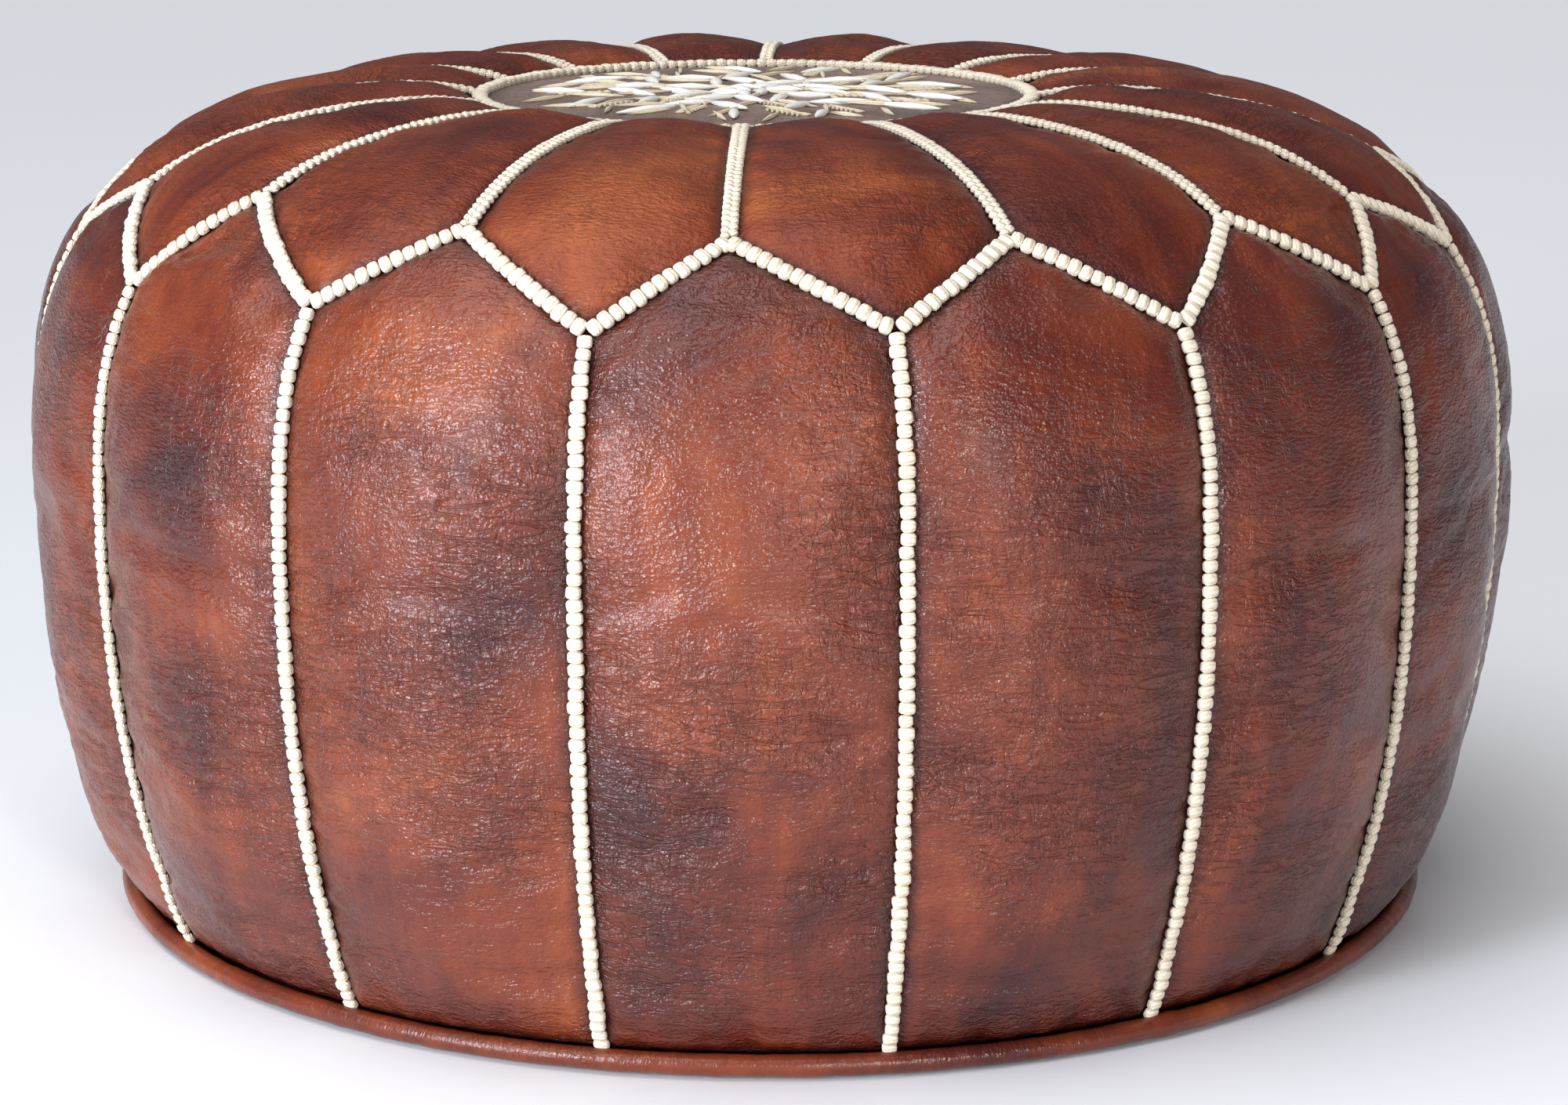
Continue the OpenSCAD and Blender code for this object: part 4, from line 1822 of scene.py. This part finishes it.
@dataclass
class Welt:
    """The leather-covered cord round the foot, wrinkled across, with one overlapped join."""

    radius: float = 231.6 * MM
    height: float = 4.7 * MM
    cord: float = 3.5 * MM
    leather: float = 0.55 * MM
    flange_inner: float = 225.6 * MM
    steps: int = 720
    around: int = 22
    join_at: float = math.radians(303.0)
    join_half: float = 4.5 * MM

    def make(self, finish: bpy.types.Material) -> bpy.types.Object:
        """Turns the strip's section about the upright axis and wrinkles it.

        Args:
            finish: the leather.

        Returns:
            The welt.
        """
        bm = bmesh.new()
        opening = math.asin(self.leather / self.cord)
        section = [Vector((self.flange_inner, self.height + self.leather))]
        for k in range(self.around + 1):
            turn = math.pi - opening - (FULL_TURN - 2 * opening) * k / self.around
            section.append(Vector((self.radius + self.cord * math.cos(turn),
                                   self.height + self.cord * math.sin(turn))))
        section.append(Vector((self.flange_inner, self.height - self.leather)))
        line = [bm.verts.new((spot.x, 0.0, spot.y)) for spot in section]
        edges = [bm.edges.new(pair) for pair in zip(line, line[1:])]
        bmesh.ops.spin(bm, geom=line + edges, cent=(0, 0, 0), axis=(0, 0, 1), angle=FULL_TURN,
                       steps=self.steps, use_merge=True)
        bmesh.ops.remove_doubles(bm, verts=bm.verts, dist=SAME_POINT)
        bmesh.ops.recalc_face_normals(bm, faces=bm.faces)
        outer = max(bm.faces, key=lambda face: face.calc_center_median().xy.length)
        if outer.normal.xy.dot(outer.calc_center_median().xy) < 0:
            bmesh.ops.reverse_faces(bm, faces=bm.faces)
        map_by(bm, HIDE_MAP, self._flat_spot)
        keep_numbers(bm, 0.05, 0.045)
        for vert in bm.verts:
            vert.co = self._worn(vert.co)
        piece = hand_over(bm, "leather_welt", finish, Body.COVER, ("welt_cover",))
        wall(piece, self.leather)
        return piece

    def _flat_spot(self, co: Vector) -> Vector:
        """The strip's flat map: across it and along it."""
        turn = math.atan2(co.z - self.height, co.xy.length - self.radius)
        return Vector((turn * self.cord + 5.0, math.atan2(co.y, co.x) * self.radius))

    def _worn(self, co: Vector) -> Vector:
        """A point of the strip after pulling and wrinkling.

        Args:
            co: the point as sewn.

        Returns:
            The moved point.
        """
        angle = math.atan2(co.y, co.x)
        along = angle * self.radius
        direction = Vector((math.cos(angle), math.sin(angle), 0.0))
        middle = direction * self.radius + Vector((0.0, 0.0, self.height))
        spoke = co - middle
        if co.xy.length < self.radius - self.cord:
            return co
        turn = math.atan2(spoke.z, spoke.dot(direction))
        ring = Vector((math.cos(angle), math.sin(angle), 0.0)) * self.radius
        wrinkle = 0.22 * MM * hum(ring + Vector((0, 0, 1.2 * MM * turn)), 4.5 * MM, 2.0)
        wrinkle += 0.18 * MM * hum(ring, 14 * MM, 6.0)
        apart = abs((along - self.join_at * self.radius + math.pi * self.radius)
                    % (FULL_TURN * self.radius) - math.pi * self.radius)
        overlap = self.leather * min(1.0, max(0.0, (self.join_half - apart) / (0.8 * MM)))
        sway = Vector((0.0, 0.0, 0.35 * MM * hum(ring, 60 * MM, 11.0)))
        return middle + spoke * (1.0 + (wrinkle + overlap) / self.cord) + sway


@dataclass
class Base:
    """The two leather halves under the pouf, turned back in lips beside the zip."""

    radius: float = 227.9 * MM
    lip_edge: float = 7.5 * MM
    lips_end: float = 205.0 * MM
    blend_over: float = 5.0 * MM
    leather: float = 1.6 * MM
    under: float = 2.4 * MM
    stitch_pitch: float = 3.2 * MM
    stitch_margin: float = 4 * MM
    stitch_spot: Spot = (10.6 * MM, 6.05 * MM)
    columns: int = 150
    rows: int = 60

    def _edge(self, x: float) -> float:
        """How far from the middle line a half starts."""
        share = min(1.0, max(0.0, (abs(x) - self.lips_end) / self.blend_over))
        return self.lip_edge * (1 - share) + 0.15 * MM * share

    def _half(self, side: int, node: str, finish: bpy.types.Material) -> bpy.types.Object:
        """Makes one half.

        Args:
            side: -1 for the front, 1 for the back.
            node: the CAD node it stands for.
            finish: its leather.

        Returns:
            The piece.
        """
        bm = bmesh.new()
        form = bmesh.new()
        form.from_mesh(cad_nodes()[node].data)
        tree = BVHTree.FromBMesh(form)
        bmesh.ops.create_grid(bm, x_segments=self.columns, y_segments=self.rows, size=0.5)
        gaps = []
        for vert in bm.verts:
            turn = (vert.co.x + 0.5) * math.pi
            share = vert.co.y + 0.5
            x = -self.radius * math.cos(turn) * 0.9995
            start = self._edge(x)
            depth = math.sqrt(max(0.0, self.radius ** 2 - x ** 2))
            reach = start + max(0.0, depth - start) * share ** 1.15
            gaps.append(min((reach - start), self.radius - math.hypot(x, reach)))
            height = self._under(tree, x, side * reach)
            vert.co = Vector((x, side * reach, self.under if height is None else height))
        form.free()
        bmesh.ops.recalc_face_normals(bm, faces=bm.faces)
        if sum(face.normal.z for face in bm.faces) > 0:
            bmesh.ops.reverse_faces(bm, faces=bm.faces)
        map_by(bm, HIDE_MAP, lambda co: Vector((co.x + 11.0 + 4 * side, co.y + 2.0)))
        keep_numbers(bm, 0.05, -0.02)
        gap_layer = bm.verts.layers.float[GAP_NAME]
        for vert, gap in zip(bm.verts, gaps):
            vert[gap_layer] = max(0.0, gap)
            free = min(1.0, max(0.0, gap) / (8 * MM))
            lift = 0.35 * MM * (0.5 + 0.5 * hum(vert.co, 30 * MM, 3.0)) + 0.2 * MM * (
                0.5 + 0.5 * hum(vert.co, 9 * MM, 13.0))
            vert.co.z += free * lift
        piece = hand_over(bm, f"leather_{node}", finish, Body.COVER, (node,))
        wall(piece, self.leather)
        return piece

    @staticmethod
    def _under(tree: BVHTree, x: float, y: float) -> float | None:
        """The height of the half's lower face at a place, from its form, if there is one.

        Args:
            tree: the form's faces.
            x: the place along the zip.
            y: the place across it.

        Returns:
            The height, or None where nothing is found.
        """
        for pull in (1.0, 0.999, 0.995, 0.99, 0.98, 0.97):
            for nudge in (0.0, 0.3 * MM, 1.0 * MM):
                sought = y + math.copysign(nudge, y)
                found = tree.ray_cast(Vector((x * pull, sought * pull, -0.05)), Vector((0, 0, 1)))
                if found[0] is not None:
                    return found[0].z
        return None

    def make(self, finish: bpy.types.Material, thread: bpy.types.Material) -> list[bpy.types.Object]:
        """Makes both halves and the machine stitching along their lips.

        Args:
            finish: the leather.
            thread: the thread.

        Returns:
            The two halves.
        """
        halves = [self._half(-1, "base_front", finish), self._half(1, "base_back", finish)]
        laid = []
        first = self.stitch_margin - self.lips_end
        out_y, out_z = self.stitch_spot
        for side in (-1, 1):
            for k in range(int(-2 * first / self.stitch_pitch)):
                x = first + (k + 0.5) * self.stitch_pitch
                laid.append(Laid(Vector((x, side * out_y, out_z)), Vector((0, 0, -1)),
                                 Vector((0, 1, 0)), Vector((0.36 * MM, 0.38 * MM, 1.35 * MM))))
        hand_over(lay_beads(Bead(6, 4, 0.9), laid), "thread_lip_stitching", thread, Body.COVER)
        return halves


@dataclass
class Zip:
    """The hidden zip in the base: tapes, interlocked coil, stops, end patches, slider and pull."""

    tooth_pitch: float = 1.6 * MM
    tooth_middle: float = 1.55 * MM
    tooth_half: Spot = (0.50 * MM, 1.62 * MM)
    tape: float = 0.5 * MM
    bevel: float = 0.25 * MM
    sharp: float = math.radians(35)

    def _tape(self, node: str, cloth: bpy.types.Material) -> bpy.types.Object:
        """One woven tape, a little wavy, where the CAD tape lies.

        Args:
            node: the CAD node.
            cloth: the tapes' cloth.

        Returns:
            The tape.
        """
        low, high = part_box(node)
        bm = bmesh.new()
        bmesh.ops.create_grid(bm, x_segments=164, y_segments=6, size=0.5)
        middle = 0.5 * (low + high)
        for vert in bm.verts:
            x = middle.x + vert.co.x * (high.x - low.x)
            y = middle.y + vert.co.y * (high.y - low.y)
            wave = 0.10 * MM * hum(Vector((x, y, 0.0)), 9 * MM, 4.0)
            vert.co = Vector((x, y, low.z + 0.1 * MM + wave))
        bmesh.ops.reverse_faces(bm, faces=bm.faces)
        piece = hand_over(bm, f"cloth_{node}", cloth, Body.COVER, (node,))
        wall(piece, self.tape)
        return piece

    def _teeth(self, node: str, side: int, coil: bpy.types.Material) -> None:
        """One side's coil as a row of rounded turns that reach past the middle line.

        Args:
            node: the CAD node.
            side: -1 for the front, 1 for the back.
            coil: the chains' material.
        """
        low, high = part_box(node)
        count = int((high.x - low.x) / self.tooth_pitch)
        laid = []
        for k in range(count):
            x = low.x + (k + 0.5 + 0.25 * side) * self.tooth_pitch
            middle = Vector((x, side * self.tooth_middle, 0.5 * (low.z + high.z)))
            half = Vector((self.tooth_half[0], 0.5 * (high.z - low.z), self.tooth_half[1]))
            laid.append(Laid(middle, Vector((0, 0, -1)), Vector((1, 0, 0)), half))
        hand_over(lay_beads(Bead(6, 4, 0.75), laid), f"coil_{node}", coil, Body.COVER,
                  (node,))

    def _softened(self, node: str) -> bmesh.types.BMesh:
        """A CAD part's merged copy with its sharp edges rounded.

        Args:
            node: the CAD node.

        Returns:
            The mesh.
        """
        bm = copy_of(node)
        bmesh.ops.dissolve_limit(bm, angle_limit=math.radians(1.0), verts=bm.verts, edges=bm.edges)
        sharp = [edge for edge in bm.edges
                 if len(edge.link_faces) == 2 and edge.calc_face_angle() > self.sharp]
        bmesh.ops.bevel(bm, geom=sharp, offset=self.bevel, segments=2, profile=0.5, affect="EDGES",
                        material=-1, clamp_overlap=True)
        return bm

    def make(self, cloth: bpy.types.Material, coil: bpy.types.Material, metal: bpy.types.Material,
             leather: bpy.types.Material) -> None:
        """Makes and dresses the zip.

        Args:
            cloth: the tapes' cloth.
            coil: the chains' material.
            metal: the metal parts' material.
            leather: the end patches' leather.
        """
        self._tape("zip_tape_front", cloth)
        self._tape("zip_tape_back", cloth)
        self._teeth("zip_chain_front", -1, coil)
        self._teeth("zip_chain_back", 1, coil)
        for node, body in (("zip_slider", Body.SLIDER), ("zip_pull", Body.PULL),
                           ("zip_top_stops", Body.COVER), ("zip_bottom_stop", Body.COVER)):
            hand_over(self._softened(node), f"metal_{node}", metal, body, (node,),
                      smooth=False)
        patches = self._softened("zip_end_patches")
        map_by(patches, HIDE_MAP, lambda co: Vector((co.x + 21.0, co.y + 1.0)))
        keep_numbers(patches, 0.05, 0.02)
        hand_over(patches, "leather_zip_end_patches", leather, Body.COVER,
                  ("zip_end_patches",), smooth=False)


@dataclass
class Filling:
    """What is inside the leather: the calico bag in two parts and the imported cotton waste."""

    centre: Vector = field(default_factory=lambda: Vector((0.0, 0.0, 0.145)))
    tuck: Vector = field(default_factory=lambda: Vector((0.978, 0.978, 0.925)))

    def _tucked(self, node: str, lumps: float, size: float) -> bmesh.types.BMesh:
        """A copy of a soft part, drawn in inside the skin and made uneven.

        Args:
            node: the CAD node.
            lumps: how deep the unevenness is, in metres.
            size: how wide the lumps are, in metres.

        Returns:
            The mesh.
        """
        bm = copy_of(node)
        for vert in bm.verts:
            away = vert.co - self.centre
            place = self.centre + away * self.tuck
            depth = lumps * (0.5 + 0.5 * hum(vert.co, size, 4.0))
            vert.co = place - away.normalized() * depth
        return bm

    def make(self, calico: bpy.types.Material, fibre: bpy.types.Material) -> bpy.types.Object:
        """Makes the bag and its filling.

        Args:
            calico: the bag's cloth.
            fibre: the filling's material.

        Returns:
            The padded filling.
        """
        filling = hand_over(self._tucked("stuffing", 1.6 * MM, 30 * MM), "stuffing_cotton_waste", fibre,
                            Body.COVER, ("stuffing",))
        for node, flat in (("liner_cup", (0.43, 1.62)), ("liner_base", (0.475, 0.475))):
            bag = hand_over(self._tucked(node, 0.4 * MM, 18 * MM), f"cloth_{node}", calico, Body.COVER,
                            (node,))
        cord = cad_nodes()["welt_cord"]
        cord.data.materials.clear()
        cord.data.materials.append(calico)
        return filling


# ---------------------------------------------------------------- studio


@dataclass(frozen=True)
class Lamp:
    """One soft rectangular lamp."""

    name: str
    place: Colour
    size: Spot
    power: float
    colour: Colour

    def make(self) -> None:
        """Hangs the lamp and points it."""
        data = bpy.data.lights.new(self.name, "AREA")
        data.shape = "RECTANGLE"
        data.size, data.size_y = self.size
        data.energy = self.power
        data.color = self.colour
        lamp = bpy.data.objects.new(self.name, data)
        bpy.context.scene.collection.objects.link(lamp)
        lamp.location = self.place
        line = Vector(LAMP_AIM) - Vector(self.place)
        lamp.rotation_euler = line.to_track_quat("-Z", "Y").to_euler()


@dataclass
class Studio:
    """The camera, the floor and the lamps."""

    camera_place: Colour = (0.0, -1.404, 0.447)
    camera_down: float = math.radians(13.2)
    lens: float = 91.7
    shift: Spot = (0.0090, -0.0065)
    floor_half: float = 12.0
    floor_cells: int = 120
    floor_sag: float = 0.3 * MM
    room_light: float = 0.22
    room_colour: Colour = (0.80, 0.84, 0.92)
    sky_light: float = 2.0
    sky_angle: float = math.radians(58.0)
    sky_turn: Colour = (math.radians(8.0), math.radians(-16.0), 0.0)
    lamps: tuple[Lamp, ...] = (
        Lamp("window_left", place=(-1.36, -1.58, 0.56), size=(0.50, 1.05), power=53.0,
             colour=(0.86, 0.92, 1.0)),
        Lamp("front_strip", place=(0.80, -2.45, 0.64), size=(0.24, 0.75), power=26.0,
             colour=(1.0, 0.97, 0.93)))

    def clear(self) -> None:
        """Removes whatever the scene starts with."""
        for thing in list(bpy.data.objects):
            bpy.data.objects.remove(thing)

    def make_camera(self) -> None:
        """Makes the camera at the picture's place."""
        data = bpy.data.cameras.new("camera")
        data.lens = self.lens
        data.sensor_width = 36.0
        data.shift_x, data.shift_y = self.shift
        camera = bpy.data.objects.new("camera", data)
        bpy.context.scene.collection.objects.link(camera)
        camera.location = self.camera_place
        camera.rotation_euler = (math.pi / 2 - self.camera_down, 0.0, 0.0)
        bpy.context.scene.camera = camera

    def make_floor(self) -> None:
        """Makes the wide, very slightly uneven paper floor."""
        bm = bmesh.new()
        bmesh.ops.create_grid(bm, x_segments=self.floor_cells,
                              y_segments=self.floor_cells, size=self.floor_half)
        for vert in bm.verts:
            far = min(1.0, max(0.0, vert.co.length - 0.5))
            vert.co.z = -self.floor_sag * far * (0.5 + 0.5 * hum(vert.co, 0.8, 1.0))
        mesh = bpy.data.meshes.new("floor")
        for face in bm.faces:
            face.smooth = True
        bm.to_mesh(mesh)
        bm.free()
        floor = bpy.data.objects.new("floor", mesh)
        bpy.context.scene.collection.objects.link(floor)
        mesh.materials.append(PaperFinish("pale_paper").material())
        floor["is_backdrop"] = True

    def make_light(self) -> None:
        """Hangs the lamps and sets the plain surroundings."""
        scene = bpy.context.scene
        scene.view_settings.view_transform = "Standard"
        world = bpy.data.worlds.new("room")
        scene.world = world
        world.use_nodes = True
        room = world.node_tree.nodes["Background"]
        room.inputs["Color"].default_value = (*self.room_colour, 1.0)
        room.inputs["Strength"].default_value = self.room_light
        sky = bpy.data.lights.new("skylight", "SUN")
        sky.energy, sky.angle = self.sky_light, self.sky_angle
        above = bpy.data.objects.new("skylight", sky)
        scene.collection.objects.link(above)
        above.rotation_euler = self.sky_turn
        for lamp in self.lamps:
            lamp.make()


# ---------------------------------------------------------------- the work in order


def make_outline() -> Outline:
    """Reads the pouf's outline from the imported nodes' boxes.

    Returns:
        The outline.
    """
    petals = [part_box(f"top_petal_{i:02d}") for i in range(1, PANELS + 1)]
    sides = [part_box(f"side_panel_{i:02d}") for i in range(1, PANELS + 1)]
    reach = max(max(abs(low.x), abs(high.x), abs(low.y), abs(high.y)) for low, high in sides)
    top = max(high.z for _, high in petals)
    return Outline(belly_radius=max(reach, 0.5 * FULL_WIDTH), belly_height=158 * MM, top_height=top,
                   medallion_radius=97 * MM)


def main() -> None:
    """Builds the studio and every sub-assembly in order."""
    logging.basicConfig(level=logging.INFO, format="%(message)s")
    studio = Studio()
    studio.make_camera()
    studio.make_floor()
    studio.make_light()
    outline = make_outline()
    plan = SeamPlan(outline)
    swelling = Swelling()
    side_leather = LeatherFinish("leather_side").material()
    # The petals are coloured lighter, partly as painted light on the top of the pouf.
    petal_leather = LeatherFinish("leather_petal", lighter=0.075, streaks=0.3, shine=0.40, gloss=0.26,
                                  coat=0.03).material()
    medallion_leather = LeatherFinish(
        "leather_medallion", stain=(0.085, 0.052, 0.043), deep=(0.170, 0.110, 0.090),
        middle=(0.255, 0.168, 0.140), warm=(0.320, 0.215, 0.178), bright=(0.390, 0.265, 0.215),
        shine=0.46, gloss=0.36, coat=0.04, streaks=0.1, rim=0.010).material()
    welt_leather = LeatherFinish("leather_welt", lighter=0.015, streaks=0.3, shine=0.32,
                                 grain=0.035, crease=0.12).material()
    base_leather = LeatherFinish("leather_base", lighter=-0.03, streaks=0.2, shine=0.50,
                                 coat=0.05).material()
    thread = ThreadFinish("stitching_cord").material()
    cream = ThreadFinish("thread_cream", light=(0.82, 0.70, 0.51), dark=(0.54, 0.41, 0.26), shine=0.7,
                         strands=5.0, sheen=0.1).material()
    white = ThreadFinish("thread_white", light=(0.92, 0.89, 0.82), dark=(0.62, 0.56, 0.46), shine=0.36,
                         strands=9.0, dirt=0.15, depth=0.08).material()
    zip_cloth = ClothFinish("zip_cloth", (0.075, 0.030, 0.018), (0.030, 0.012, 0.008)).material()
    calico = ClothFinish("calico", (0.78, 0.72, 0.60), (0.50, 0.43, 0.33)).material()
    coil = CoilFinish("zip_coil").material()
    metal = MetalFinish("zip_metal").material()
    fibre = FibreFinish("stuffing").material()

    filling = Filling().make(calico, fibre)
    skin = Skin(plan, swelling)
    skin.make(side_leather, petal_leather)
    skin.declare()
    medallion = Medallion(plan, swelling)
    disc = medallion.make_leather(medallion_leather)
    medallion.make_embroidery(cream, white)
    ThreadSeams(plan, swelling).make(thread)
    welt = Welt().make(welt_leather)
    for half in Base().make(base_leather, thread):
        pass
    Zip().make(zip_cloth, coil, metal, base_leather)


if __name__ == "__main__":
    Studio().clear()
    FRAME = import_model()
    CAD_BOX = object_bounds()
    FULL_WIDTH = CAD_BOX[1].x - CAD_BOX[0].x
    main()
